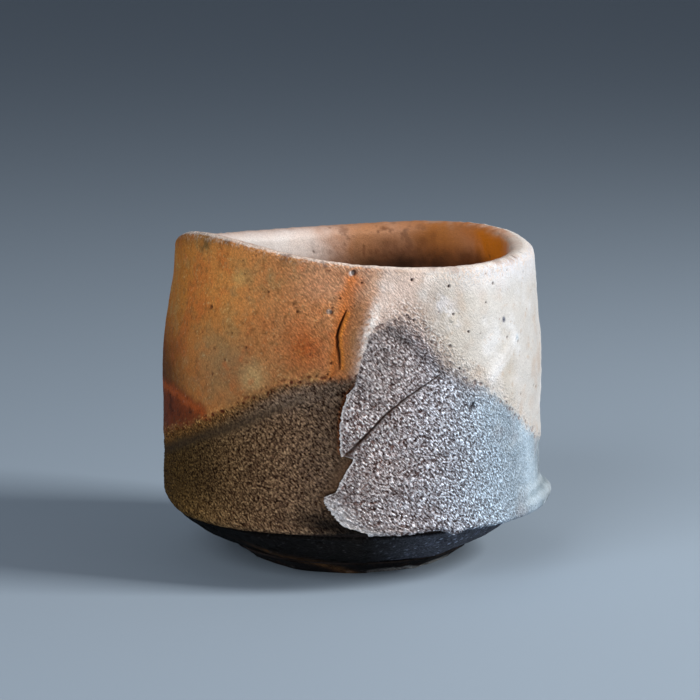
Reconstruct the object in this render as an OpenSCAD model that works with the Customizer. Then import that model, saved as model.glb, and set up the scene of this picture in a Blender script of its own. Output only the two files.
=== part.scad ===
// Small slab-built stoneware sake cup on a luted foot ring.
// One strip of clay is wrapped round a carved base disc and lapped over itself
// at the front. The joints are luted with slip, and the body wears three coats:
// a rough grey slip below, a flame-coloured glaze above and a glaze lining.
// Angles run from the front of the cup (-Y), positive towards +X.

/* [Wall strip] */
// Outer radius at the widest part of the wall
belt_r = 32.8; // [30:0.1:36]
// How far the plan is squared off between the corners, as a share of the radius
plan_sq = 0.012; // [0:0.002:0.03]
// Clay thickness of the strip at its lower edge
clay_low = 3.6; // [3:0.1:4.5]
// Clay thickness of the strip at the rim
clay_rim = 2.6; // [2.4:0.1:3.2]
// Height of the strip's lower edge above the table
edge_z = 9.6; // [9.4:0.1:10.6]
// How far the wall leans in at the rim
rim_drop = 1.85; // [0.8:0.05:2.6]
// Extra lean on the left of the rim, and less on the right
rim_skew = 0.45; // [0:0.05:0.8]

/* [Rim] */
// Height of the level part of the rim
rim_z = 53.7; // [50:0.1:58]
// Rise of the rim's high shoulder at the front left
peak_h = 4.1; // [0:0.1:6]
// Angle of the high shoulder
peak_phi = -52; // [-80:1:-20]
// Half width of the high shoulder, in degrees
peak_w = 37; // [18:1:40]
// Extra thickness of the rim at the right
rim_fat = 1.0; // [0:0.1:2]

/* [Lap joint] */
// Angle of the strip's hidden inner end
lap_start = 16; // [14:1:20]
// Angle of the outer end's free edge at the rim
lap_top = 8; // [4:1:9]
// Angle of the outer end's free edge at the bottom
lap_bottom = -8; // [-12:1:-2]
// How far the outer end stands proud
lap_high = 0.8; // [0.3:0.1:1.2]
// How far the wall dips beside the lap
lap_low = 0.5; // [0.2:0.1:0.8]
// How much the hidden end is thinned
lap_thin = 1.4; // [1:0.1:1.5]
// Thickness of slip in the lap
slip_t = 0.3; // [0.2:0.05:0.4]

/* [Lower lip] */
// How far the strip's lower edge flares at the right
lip_out = 2.1; // [0:0.1:3]
// Angle of the flare
lip_phi = 95; // [70:1:120]
// Half width of the flare, in degrees
lip_w = 27; // [12:1:40]

/* [Coats] */
// Thickness of each coat of glaze or slip
coat = 0.4; // [0.3:0.05:0.5]

/* [Base and foot] */
// Radius of the base disc's flange under the strip
flange_r = 29.6; // [29:0.1:30.4]
// Height of the foot ring
foot_h = 2.2; // [1.6:0.1:2.4]
// Outer radius of the foot ring's resting face
foot_r = 16.8; // [15:0.1:17.4]
// Inner radius of the foot ring's resting face
foot_in = 13.2; // [12.8:0.1:14.4]
// How deep the floor is dished at its centre
dish = 1.2; // [0.4:0.1:1.6]

/* [Hidden] */

$fn = 96;
in_r = 28.0;              // inner radius of the strip where it grips the base
slip_b = 0.4;             // slip between strip and flange
flange_z = edge_z - slip_b;
floor_z = edge_z + 0.8;   // top of the disc inside the cup
tenon_r = 27.5;           // disc radius inside the strip
clear_r = in_r - 0.07;    // revolved pieces stay just inside the strip's facets
coil_r = 4.2;             // radius of the inside corner
coil_z = floor_z + coil_r;
foot_gap = 0.3;           // slip between foot ring and disc
cone_r = 19.6;            // radius where the foot ring meets the disc

col_a = 4;                // columns under the lap
col_b = 66;               // columns round the cup
low_f = [0, 0, 0, 0.25, 0.5, 0.75, 1];    // rows from the coil's top to the coat line
up_f = [0, 0.2, 0.4, 0.6, 0.8, 0.94, 1];  // rows from the coat line to the rim
hem_z = edge_z + 2.8;                     // height of the lip's tip
n1 = len(low_f) - 1;
n2 = len(up_f) - 1;
nz = n1 + n2;

function ramp(a, b, x) = let (u = min(1, max(0, (x - a) / (b - a)))) u * u * (3 - 2 * u);
function wrap(a) = a - 360 * floor((a + 180) / 360);
function bell(a, c, w) = exp(-pow(wrap(a - c) / w, 2));
function at(phi, r, z) = [r * sin(phi), -r * cos(phi), z];

// Rim height, with the shoulder at the front left and a low sway at the back.
function rim_h(phi) = rim_z + peak_h * bell(phi, peak_phi, peak_w) + 1.1 * bell(phi, 132, 42) - 0.8 * bell(phi, -150, 40) - 0.5 * bell(phi, 35, 25);

// Height of the line where the grey slip ends and the glaze begins.
function line_h(phi) = 24
    + 11.5 * bell(phi, -12, 34)
    + 15 * bell(phi, 14, 19)
    + 6 * bell(phi, 46, 26)
    - 6 * bell(phi, 118, 34)
    - 5 * bell(phi, -112, 30)
    + 7 * bell(phi, 178, 40);

// Finished outer radius of the cup, over its coats and without the lap.
function wall_r(phi, z) = belt_r * (1 - plan_sq * cos(4 * phi))
    - (rim_drop - rim_skew * sin(phi)) * ramp(32, 54, z)
    - (0.9 + 0.6 * bell(phi, -88, 42)) * (1 - ramp(edge_z, edge_z + 2.4, z))
    - 0.9 * ramp(-2.2, 0, z - rim_h(phi))
    + lip_out * bell(phi, lip_phi, lip_w) * (0.2 + 0.8 * ramp(edge_z, hem_z, z)) * (1 - ramp(hem_z, coil_z + 0.6, z));

// Lap geometry: the strip is measured by the angle t turned from its hidden end.
function lap_edge(j) = let (v = j / nz) lap_bottom + (lap_top - lap_bottom) * ramp(0.25, 1.15, v) / ramp(0.25, 1.15, 1);
function t_edge(j) = lap_start - lap_edge(j);
function col_t(j) = let (ta = t_edge(j)) concat(
    [for (k = [0 : col_a]) ta * k / col_a],
    [for (k = [1 : col_b]) ta + (359 - ta) * k / col_b],
    [for (k = [0 : col_a]) 360 + ta * k / col_a]);
first_out = col_a;                    // first column that shows
n_col = 2 * col_a + col_b + 2;
function row_z(phi, j) = j == 0 ? edge_z
    : j == 1 ? hem_z
    : j <= n1 ? coil_z + (line_h(phi) - coil_z) * low_f[j]
    : line_h(phi) + (rim_h(phi) - coat - line_h(phi)) * up_f[j - n1];
function lift(t, j) = let (ta = t_edge(j))
    t < ta ? -lap_low - lap_thin * (1 - t / ta)
    : -lap_low * (1 - ramp(ta, ta + 70, t)) + lap_high * ramp(285, 350, t) * (1 - 0.5 * ramp(0.75, 1, j / nz));

// Clay faces of the strip.
function clay_out(t, j) = let (phi = lap_start - t, z = row_z(phi, j)) wall_r(phi, z) - coat + lift(t, j);
function clay_in_free(t, j) = let (phi = lap_start - t, z = row_z(phi, j))
    let (full = wall_r(phi, max(z, edge_z + 2.4)) - coat - clay_low + (clay_low - clay_rim) * ramp(14, 52, z) + 0.9 * ramp(-2.2, 0, z - rim_h(phi)) * 2 - rim_fat * bell(phi, 100, 42) * ramp(38, 52, z))
    in_r + (full - in_r) * ramp(coil_z, 27, z);
function clay_in(t, j) = t < 359.5 ? clay_in_free(t, j) : clay_out(t - 360, j) + slip_t;

function pt(t, r, j) = let (phi = lap_start - t) at(phi, r, row_z(phi, j));

// Closed solid between two grids of points, rows going up and columns going round.
module sheet(a, b) {
    nr = len(a); nc = len(a[0]); n = nr * nc;
    function ia(i, j) = i * nc + j;
    function ib(i, j) = n + i * nc + j;
    function two(p, q, r, s) = [[p, q, r], [p, r, s]];
    polyhedron(
        points = concat([for (row = a) each row], [for (row = b) each row]),
        faces = concat(
            [for (i = [0 : nr - 2], j = [0 : nc - 2]) each two(ia(i, j), ia(i, j + 1), ia(i + 1, j + 1), ia(i + 1, j))],
            [for (i = [0 : nr - 2], j = [0 : nc - 2]) each [[ib(i, j), ib(i + 1, j + 1), ib(i, j + 1)], [ib(i, j), ib(i + 1, j), ib(i + 1, j + 1)]]],
            [for (j = [0 : nc - 2]) each two(ia(0, j + 1), ia(0, j), ib(0, j), ib(0, j + 1))],
            [for (j = [0 : nc - 2]) each two(ia(nr - 1, j), ia(nr - 1, j + 1), ib(nr - 1, j + 1), ib(nr - 1, j))],
            [for (i = [0 : nr - 2]) each two(ia(i, 0), ia(i + 1, 0), ib(i + 1, 0), ib(i, 0))],
            [for (i = [0 : nr - 2]) each two(ia(i + 1, nc - 1), ia(i, nc - 1), ib(i, nc - 1), ib(i + 1, nc - 1))]));
}

// Closed cup-shaped shell between two grids whose columns run right round.
// Row 0 is a small ring at the centre of the floor, closed with a flat cap.
module lining(a, b) {
    nr = len(a); nc = len(a[0]); n = nr * nc;
    function ia(i, j) = i * nc + j % nc;
    function ib(i, j) = n + i * nc + j % nc;
    function two(p, q, r, s) = [[p, q, r], [p, r, s]];
    polyhedron(
        points = concat([for (row = a) each row], [for (row = b) each row]),
        faces = concat(
            [for (i = [0 : nr - 2], j = [0 : nc - 1]) each two(ia(i, j), ia(i, j + 1), ia(i + 1, j + 1), ia(i + 1, j))],
            [for (i = [0 : nr - 2], j = [0 : nc - 1]) each [[ib(i, j), ib(i + 1, j + 1), ib(i, j + 1)], [ib(i, j), ib(i + 1, j), ib(i + 1, j + 1)]]],
            [for (j = [0 : nc - 1]) each two(ia(nr - 1, j), ia(nr - 1, j + 1), ib(nr - 1, j + 1), ib(nr - 1, j))],
            [[for (j = [nc - 1 : -1 : 0]) ia(0, j)]],
            [[for (j = [0 : nc - 1]) ib(0, j)]]));
}

// Height of the floor at a radius inside the cup.
function floor_h(r) = floor_z - dish * pow(max(0, 1 - pow(r / 22, 2)), 1);

// The clay strip: one solid, wrapped 376 to 384 degrees and lapped at the front.
module wall_strip() {
    color([0.42, 0.30, 0.22])
    sheet(
        [for (j = [0 : nz]) [for (t = col_t(j)) pt(t, clay_out(t, j), j)]],
        [for (j = [0 : nz]) [for (t = col_t(j)) pt(t, clay_in(t, j), j)]]);
}

// Slip in the lap, kept back from the rim and from the free edge, where the joint has opened.
module lap_slip() {
    color([0.30, 0.20, 0.14])
    sheet(
        [for (j = [0 : nz - 2]) [for (k = [0 : col_a - 1]) let (t = t_edge(j) * k / col_a) pt(t, clay_out(t, j) + slip_t, j)]],
        [for (j = [0 : nz - 2]) [for (k = [0 : col_a - 1]) let (t = t_edge(j) * k / col_a) pt(t, clay_out(t, j), j)]]);
}

// Carved base disc: a tenon inside the strip, a flange under it and a cone below.
module base_disc() {
    color([0.13, 0.12, 0.12])
    rotate_extrude()
    polygon(concat(
        [[0, foot_h + foot_gap], [cone_r, foot_h + foot_gap], [flange_r, flange_z - 0.5], [flange_r, flange_z], [tenon_r, flange_z], [tenon_r, floor_z]],
        [for (r = [22 : -2 : 0]) [r, floor_h(r)]]));
}

// Foot ring, luted under the disc. Its flat lower face carries the cup.
module foot_ring() {
    color([0.33, 0.22, 0.15])
    rotate_extrude()
    polygon([[foot_in, 0], [foot_r, 0], [foot_r + 0.5, 0.5], [cone_r, foot_h], [foot_in - 1, foot_h], [foot_in - 0.6, 0.6]]);
}

// Slip under the disc.
module foot_slip() {
    color([0.30, 0.20, 0.14])
    translate([0, 0, foot_h])
    difference() {
        cylinder(h = foot_gap, r = cone_r);
        translate([0, 0, -1]) cylinder(h = foot_gap + 2, r = foot_in - 1);
    }
}

// Slip under and behind the strip's lower edge.
module base_slip() {
    color([0.30, 0.20, 0.14])
    rotate_extrude()
    polygon([[tenon_r, flange_z], [flange_r, flange_z], [flange_r, edge_z], [clear_r, edge_z], [clear_r, floor_z], [tenon_r, floor_z]]);
}

// Coil of soft clay pressed into the corner between floor and wall.
module corner_coil() {
    color([0.42, 0.30, 0.22])
    rotate_extrude()
    polygon(concat(
        [[clear_r, floor_z]],
        [for (a = [0 : 10 : 90]) [clear_r - coil_r + coil_r * cos(a), coil_z - coil_r * sin(a)]]));
}

// Rough grey slip on the lower wall.
module grey_slip_coat() {
    color([0.40, 0.38, 0.40])
    sheet(
        [for (j = [0 : n1]) [for (k = [first_out : n_col - 1]) let (t = col_t(j)[k]) pt(t, clay_out(t, j) + coat, j)]],
        [for (j = [0 : n1]) [for (k = [first_out : n_col - 1]) let (t = col_t(j)[k]) pt(t, clay_out(t, j), j)]]);
}

// Flame-coloured glaze on the upper wall, over to the middle of the rim.
function rim_mid(t) = (clay_out(t, nz) + clay_in(t, nz)) / 2;
module flame_glaze_coat() {
    color([0.70, 0.42, 0.24])
    sheet(
        concat(
            [for (j = [n1 : nz]) [for (k = [first_out : n_col - 1]) let (t = col_t(j)[k]) pt(t, clay_out(t, j) + coat * (j == nz ? 0.6 : 1), j) + [0, 0, j == nz ? coat * 0.7 : 0]]],
            [[for (k = [first_out : n_col - 1]) let (t = col_t(nz)[k]) pt(t, rim_mid(t), nz) + [0, 0, coat]]]),
        concat(
            [for (j = [n1 : nz]) [for (k = [first_out : n_col - 1]) let (t = col_t(j)[k]) pt(t, clay_out(t, j), j)]],
            [[for (k = [first_out : n_col - 1]) let (t = col_t(nz)[k]) pt(t, rim_mid(t), nz)]]));
}

// Glaze lining: floor, corner and inner wall, up to the middle of the rim.
ring_n = col_a + col_b + 1;
function ring_t(j) = [for (k = [0 : ring_n - 1]) col_t(j)[k]];
floor_rings = [1, 8, 15, 22];
arc_a = [78, 60, 40, 20];
module glaze_lining() {
    color([0.80, 0.70, 0.62])
    lining(
        concat(
            [for (r = floor_rings) [for (t = ring_t(2)) at(lap_start - t, r, floor_h(r) + 0.02)]],
            [for (a = arc_a) [for (t = ring_t(2)) at(lap_start - t, clear_r - coil_r + coil_r * cos(a), coil_z - coil_r * sin(a))]],
            [for (j = [2 : nz]) if (j != 3) [for (t = ring_t(j)) pt(t, clay_in_free(t, j) - (j == 2 ? 0.07 : 0), j)]],
            [[for (t = ring_t(nz)) pt(t, (clay_out(t, nz) + clay_in_free(t, nz)) / 2, nz)]]),
        concat(
            [for (r = floor_rings) [for (t = ring_t(2)) at(lap_start - t, r, floor_h(r) + 0.02 + coat)]],
            [for (a = arc_a) [for (t = ring_t(2)) at(lap_start - t, clear_r - coil_r + (coil_r - coat) * cos(a), coil_z - (coil_r - coat) * sin(a))]],
            [for (j = [2 : nz]) if (j != 3) [for (t = ring_t(j)) pt(t, clay_in_free(t, j) - coat * (j == nz ? 0.6 : 1) - (j == 2 ? 0.07 : 0), j) + [0, 0, j == nz ? coat * 0.7 : 0]]],
            [[for (t = ring_t(nz)) pt(t, (clay_out(t, nz) + clay_in_free(t, nz)) / 2, nz) + [0, 0, coat]]]));
}

wall_strip();
base_disc();
foot_ring();
corner_coil();
lap_slip();
base_slip();
foot_slip();
grey_slip_coat();
flame_glaze_coat();
glaze_lining();
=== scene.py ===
import math

import bpy
import numpy as np
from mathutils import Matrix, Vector


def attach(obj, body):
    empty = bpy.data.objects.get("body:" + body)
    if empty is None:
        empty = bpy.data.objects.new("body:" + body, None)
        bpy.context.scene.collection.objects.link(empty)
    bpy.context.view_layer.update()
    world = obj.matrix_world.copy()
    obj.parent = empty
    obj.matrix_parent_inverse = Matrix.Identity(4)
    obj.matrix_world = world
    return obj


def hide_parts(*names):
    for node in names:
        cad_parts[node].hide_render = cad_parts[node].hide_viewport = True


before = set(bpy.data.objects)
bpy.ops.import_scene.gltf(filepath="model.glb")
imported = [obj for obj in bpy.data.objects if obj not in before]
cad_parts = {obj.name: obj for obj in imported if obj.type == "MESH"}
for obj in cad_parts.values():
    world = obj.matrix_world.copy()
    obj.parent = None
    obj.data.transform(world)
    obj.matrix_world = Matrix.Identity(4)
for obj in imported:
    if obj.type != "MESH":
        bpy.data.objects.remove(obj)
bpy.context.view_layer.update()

MM = 0.001
RAD = math.pi / 180


# ---------------------------------------------------------------- small maths
def ramp(a, b, x):
    u = np.clip((np.asarray(x, float) - a) / (b - a), 0, 1)
    return u * u * (3 - 2 * u)


def wrap(a):
    return a - 360 * np.floor((a + 180) / 360)


def bell(a, c, w):
    return np.exp(-((wrap(a - c) / w) ** 2))


def mix(a, b, t):
    return a + (b - a) * t


def lin(r, g, b):
    c = np.array([r, g, b], float) / 255
    return np.where(c <= 0.04045, c / 12.92, ((c + 0.055) / 1.055) ** 2.4)


def hashed(ix, iy, iz, seed):
    h = ix.astype(np.uint32) * np.uint32(374761393)
    h = h + iy.astype(np.uint32) * np.uint32(668265263)
    h = h + iz.astype(np.uint32) * np.uint32(2246822519)
    h = h + np.uint32((seed * 3266489917 + 374761393) & 0xFFFFFFFF)
    h = (h ^ (h >> np.uint32(15))) * np.uint32(2246822519)
    h = (h ^ (h >> np.uint32(13))) * np.uint32(3266489917)
    return h ^ (h >> np.uint32(16))


def noise(p, seed):
    """Gradient noise, about -1 to 1. p is (n, 3), one cell per unit."""
    i = np.floor(p).astype(np.int64)
    f = p - i
    u = f * f * f * (f * (f * 6 - 15) + 10)
    out = np.zeros(len(p))
    for dx in (0, 1):
        for dy in (0, 1):
            for dz in (0, 1):
                h = hashed(i[:, 0] + dx, i[:, 1] + dy, i[:, 2] + dz, seed)
                gx = (h & np.uint32(1023)).astype(float) / 511.5 - 1
                gy = ((h >> np.uint32(10)) & np.uint32(1023)).astype(float) / 511.5 - 1
                gz = ((h >> np.uint32(20)) & np.uint32(1023)).astype(float) / 511.5 - 1
                d = gx * (f[:, 0] - dx) + gy * (f[:, 1] - dy) + gz * (f[:, 2] - dz)
                w = (u[:, 0] if dx else 1 - u[:, 0]) * (u[:, 1] if dy else 1 - u[:, 1]) * (u[:, 2] if dz else 1 - u[:, 2])
                out += w * d
    return out * 1.3


def fbm(p, seed, octaves=3, gain=0.5):
    out, amp, total = np.zeros(len(p)), 1.0, 0.0
    for k in range(octaves):
        out += amp * noise(p * (2.03 ** k) + 17.3 * k, seed + k)
        total += amp
        amp *= gain
    return out / total * 1.3


def cells(p, seed):
    """Distance to the nearest and second nearest cell point, and a random number for the nearest cell."""
    i = np.floor(p).astype(np.int64)
    f1 = np.full(len(p), 9.0)
    f2 = np.full(len(p), 9.0)
    ident = np.zeros(len(p))
    for dx in (-1, 0, 1):
        for dy in (-1, 0, 1):
            for dz in (-1, 0, 1):
                jx, jy, jz = i[:, 0] + dx, i[:, 1] + dy, i[:, 2] + dz
                h = hashed(jx, jy, jz, seed)
                qx = jx + (h & np.uint32(1023)).astype(float) / 1023
                qy = jy + ((h >> np.uint32(10)) & np.uint32(1023)).astype(float) / 1023
                qz = jz + ((h >> np.uint32(20)) & np.uint32(1023)).astype(float) / 1023
                d = np.sqrt((qx - p[:, 0]) ** 2 + (qy - p[:, 1]) ** 2 + (qz - p[:, 2]) ** 2)
                near = d < f1
                f2 = np.where(near, f1, np.minimum(f2, d))
                ident = np.where(near, hashed(jx, jy, jz, seed + 91).astype(float) / 4294967295.0, ident)
                f1 = np.where(near, d, f1)
    return f1, f2, ident


# ---------------------------------------------------------------- shape of the cup, in millimetres and degrees
# Angles run from the front (-Y), positive towards +X.
EDGE_Z = 9.6
COAT = 0.4


def rim_h(phi):
    return 53.7 + 4.1 * bell(phi, -52, 37) + 1.1 * bell(phi, 132, 42) - 0.8 * bell(phi, -150, 40) - 0.5 * bell(phi, 35, 25)


def wall_r(phi, z):
    """Finished outer radius without the lap, before edges are rounded."""
    r = 32.8 * (1 - 0.012 * np.cos(4 * phi * RAD))
    r = r - (1.85 - 0.45 * np.sin(phi * RAD)) * ramp(32 + 2 * bell(phi, -90, 60), 54, z)
    r = r - 0.4 * bell(phi, 95, 30) * np.exp(-((z - 17.2) / 3.4) ** 2)
    r = r + 2.2 * bell(phi, 95, 27) * np.exp(-((z - 11.2) / 1.75) ** 2)
    return r


CAM = np.array([-0.34, -500.0, 117.2])
PITCH = 9.3 * RAD
FOCAL = 2950.0


def hit(px, py):
    """Angle and height where the camera's ray through a point of the 700 frame meets the wall."""
    px, py = np.asarray(px, float), np.asarray(py, float)
    dx, dy = (px - 350) / FOCAL, -(py - 350) / FOCAL
    d = np.stack([dx, math.cos(PITCH) + dy * math.sin(PITCH), -math.sin(PITCH) + dy * math.cos(PITCH)], -1)
    r = np.full(px.shape, 32.4)
    for _ in range(8):
        a = d[..., 0] ** 2 + d[..., 1] ** 2
        b = CAM[0] * d[..., 0] + CAM[1] * d[..., 1]
        c = CAM[0] ** 2 + CAM[1] ** 2 - r * r
        s = (-b - np.sqrt(np.maximum(b * b - a * c, 0))) / a
        x, y, z = CAM[0] + s * d[..., 0], CAM[1] + s * d[..., 1], CAM[2] + s * d[..., 2]
        phi = np.arctan2(x, -y) / RAD
        r = wall_r(phi, z)
    return phi, z


def path(points):
    q = np.array(points, float)
    phi, z = hit(q[:, 0], q[:, 1])
    return np.stack([phi * 32.5 * RAD, z], -1)


def along(s, z, pts):
    """Distance in mm from points (s along the wall, z) to a path, and the share of its length passed."""
    seg = np.linalg.norm(np.diff(pts, axis=0), axis=1)
    start = np.concatenate([[0], np.cumsum(seg)])
    best = np.full(s.shape, 1e9)
    share = np.zeros(s.shape)
    for k in range(len(seg)):
        a, b = pts[k], pts[k + 1]
        t = np.clip(((s - a[0]) * (b[0] - a[0]) + (z - a[1]) * (b[1] - a[1])) / max(seg[k] ** 2, 1e-9), 0, 1)
        d = np.hypot(s - a[0] - t * (b[0] - a[0]), z - a[1] - t * (b[1] - a[1]))
        near = d < best
        best = np.where(near, d, best)
        share = np.where(near, (start[k] + t * seg[k]) / start[-1], share)
    return best, share


# free edge of the lapped end: height, angle
LAP = np.array([
    (8, 5.5), (10.4, 4.7), (11.0, 1.5), (11.8, -2.2), (13.4, -5.1), (14.6, -6.4), (15.6, -7.6), (16.6, -7.4), (17.3, -5.0),
    (18.9, -3.4), (20, -2.4), (21.2, -1.2), (22.3, 0.3), (22.9, 0.6), (23.3, -3.0), (25.5, -3.4), (27.7, -3.4), (30.6, -2.9),
    (33.4, -1.2), (34.9, 0.8), (37.3, 2.1), (39.3, 2.8), (42.9, 3.9), (45.6, 5.4), (50, 7.2), (52.5, 8.6), (58, 9.7)], float)


def lap_edge(z):
    z = np.asarray(z, float)
    base = np.interp(z, LAP[:, 0], LAP[:, 1])
    q = np.stack([z.ravel() * 1.6, z.ravel() * 0 + 3.1, z.ravel() * 0 + 7.7], -1)
    rag = fbm(q, 501, 3).reshape(z.shape) * 0.55
    crumb = fbm(q * np.array([2.9, 1, 1]), 503, 2).reshape(z.shape) * 1.1 * (1 - ramp(16, 22, z)) * ramp(9.5, 11.5, z)
    chip = fbm(q * np.array([1.9, 1, 1]), 505, 2).reshape(z.shape) * 0.34
    return base + (rag + chip) * (1 - ramp(33, 37, z)) + crumb


SLIT = path([(336, 466), (345, 457.5), (355, 447), (365, 436), (375, 425), (385, 414), (395, 405.5), (407, 396), (420, 387), (430, 380), (440, 373)])
CRACK = path([(346.6, 310.5), (344.5, 315.5), (341.3, 322.5), (338.2, 331), (336.8, 337.5), (337.6, 343), (337.2, 347), (338.9, 353), (339.5, 361), (340, 371)])
CREASE = path([(411, 476), (400, 486), (384, 498)])
NOTCH = path([(476.5, 395), (473.5, 399.5), (471, 403.5), (469, 408)])
BAND = path([(160, 452), (180, 444), (200, 437), (240, 424), (275, 410), (300, 400)])
SCRATCH = path([(297, 408), (305, 409), (312, 407)])
RIDGE_R = path([(487.5, 378), (493.5, 370), (503, 356), (509, 346), (515, 337)])
MARKS = [path([(330, 262), (337, 276)]), path([(336, 263), (342, 275)]), path([(343, 264), (347, 272)])]
RUST = np.concatenate([[(-130 * 32.5 * RAD, 28.5), (-108 * 32.5 * RAD, 30.5)], path([(166, 380), (176, 386), (188, 395), (199, 403), (207, 413), (212, 421)])])
VALLEY = path([(364, 342), (372, 332), (384, 329), (398, 335), (412, 347), (425, 358), (437, 367), (448, 376), (462, 386), (476, 396)])
FOLD = path([(503, 514), (514, 507), (526, 498), (538, 489.5)])
FOLD = np.concatenate([FOLD, [(97 * 32.5 * RAD, FOLD[-1, 1] - 0.4), (118 * 32.5 * RAD, FOLD[-1, 1] - 1.6)]])
FLASH = path([(354, 284), (350, 297), (347, 310), (342, 330), (340, 350), (338, 372), (335, 380)])
LINE_L = np.concatenate([
    np.array([(-180, 29), (-140, 24.5), (-112, 20)], float),
    np.stack(hit([163.5, 166, 188, 211, 234, 257, 280, 303, 326, 341], [434, 433, 427, 417, 407, 397, 387, 383, 381, 380]), -1),
    np.array([(8, 35.2)], float)])
LINE_F = np.concatenate([
    np.array([(-12, 41.5), (1, 42.5)], float),
    np.stack(hit([372, 389, 404, 419, 431, 445, 452, 466, 481.6, 495.5, 509, 523, 537], [331, 322, 316, 325, 345, 361, 367, 378, 386.5, 398, 411, 426, 438]), -1),
    np.array([(108, 18.5), (142, 23), (180, 29)], float)])

# pits seen in the glaze: frame x, y, radius and depth in mm
PITS = [
    (354, 273, 0.55, 0.6), (362, 283, 0.22, 0.3), (340, 299, 0.22, 0.35), (331, 313, 0.4, 0.35), (331, 364, 0.24, 0.35),
    (412, 280, 0.3, 0.45), (448, 286, 0.28, 0.35), (452, 314, 0.24, 0.3), (465, 331, 0.24, 0.3), (457, 368, 0.25, 0.3),
    (501, 320, 0.26, 0.35), (515, 338, 0.26, 0.35), (211, 307, 0.4, 0.35), (268, 292, 0.25, 0.3), (297, 312, 0.24, 0.3),
    (327, 375, 0.2, 0.3), (330, 379, 0.22, 0.3), (316, 377, 0.2, 0.3), (245, 348, 0.25, 0.25), (224, 360, 0.22, 0.25)]
PIT_S = np.array([(a, z, r, d) for (px, py, r, d) in PITS for a, z in [[float(v) for v in hit(px, py)]]])


def lower_edge(phi):
    phi = np.asarray(phi, float)
    q = np.stack([wrap(phi).ravel() * 0.42, 0 * phi.ravel() + 1.7, 0 * phi.ravel() + 4.4], -1)
    return 0.34 * fbm(q, 511, 2).reshape(phi.shape) * bell(phi, 32, 30) + EDGE_Z + 0.35 * bell(phi, 20, 30) - 0.25 * bell(phi, -75, 35) - 0.5 * bell(phi, 96, 24) - 0.55 * bell(phi, 30.2, 2.2) + 0.3 * bell(phi, 25, 3)


def blob(s, z, px, py, r, soft=0.6):
    """Soft round patch at a frame point, radius in mm."""
    a, pz = hit(px, py)
    dd = np.hypot(s - a * 32.5 * RAD, z - pz)
    return 1 - ramp(r * (1 - soft), r * (1 + soft), dd)


def tinted(c, k, t):
    t = np.clip(t, 0, 1)[:, None]
    return c * (1 - t) + k * t


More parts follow.
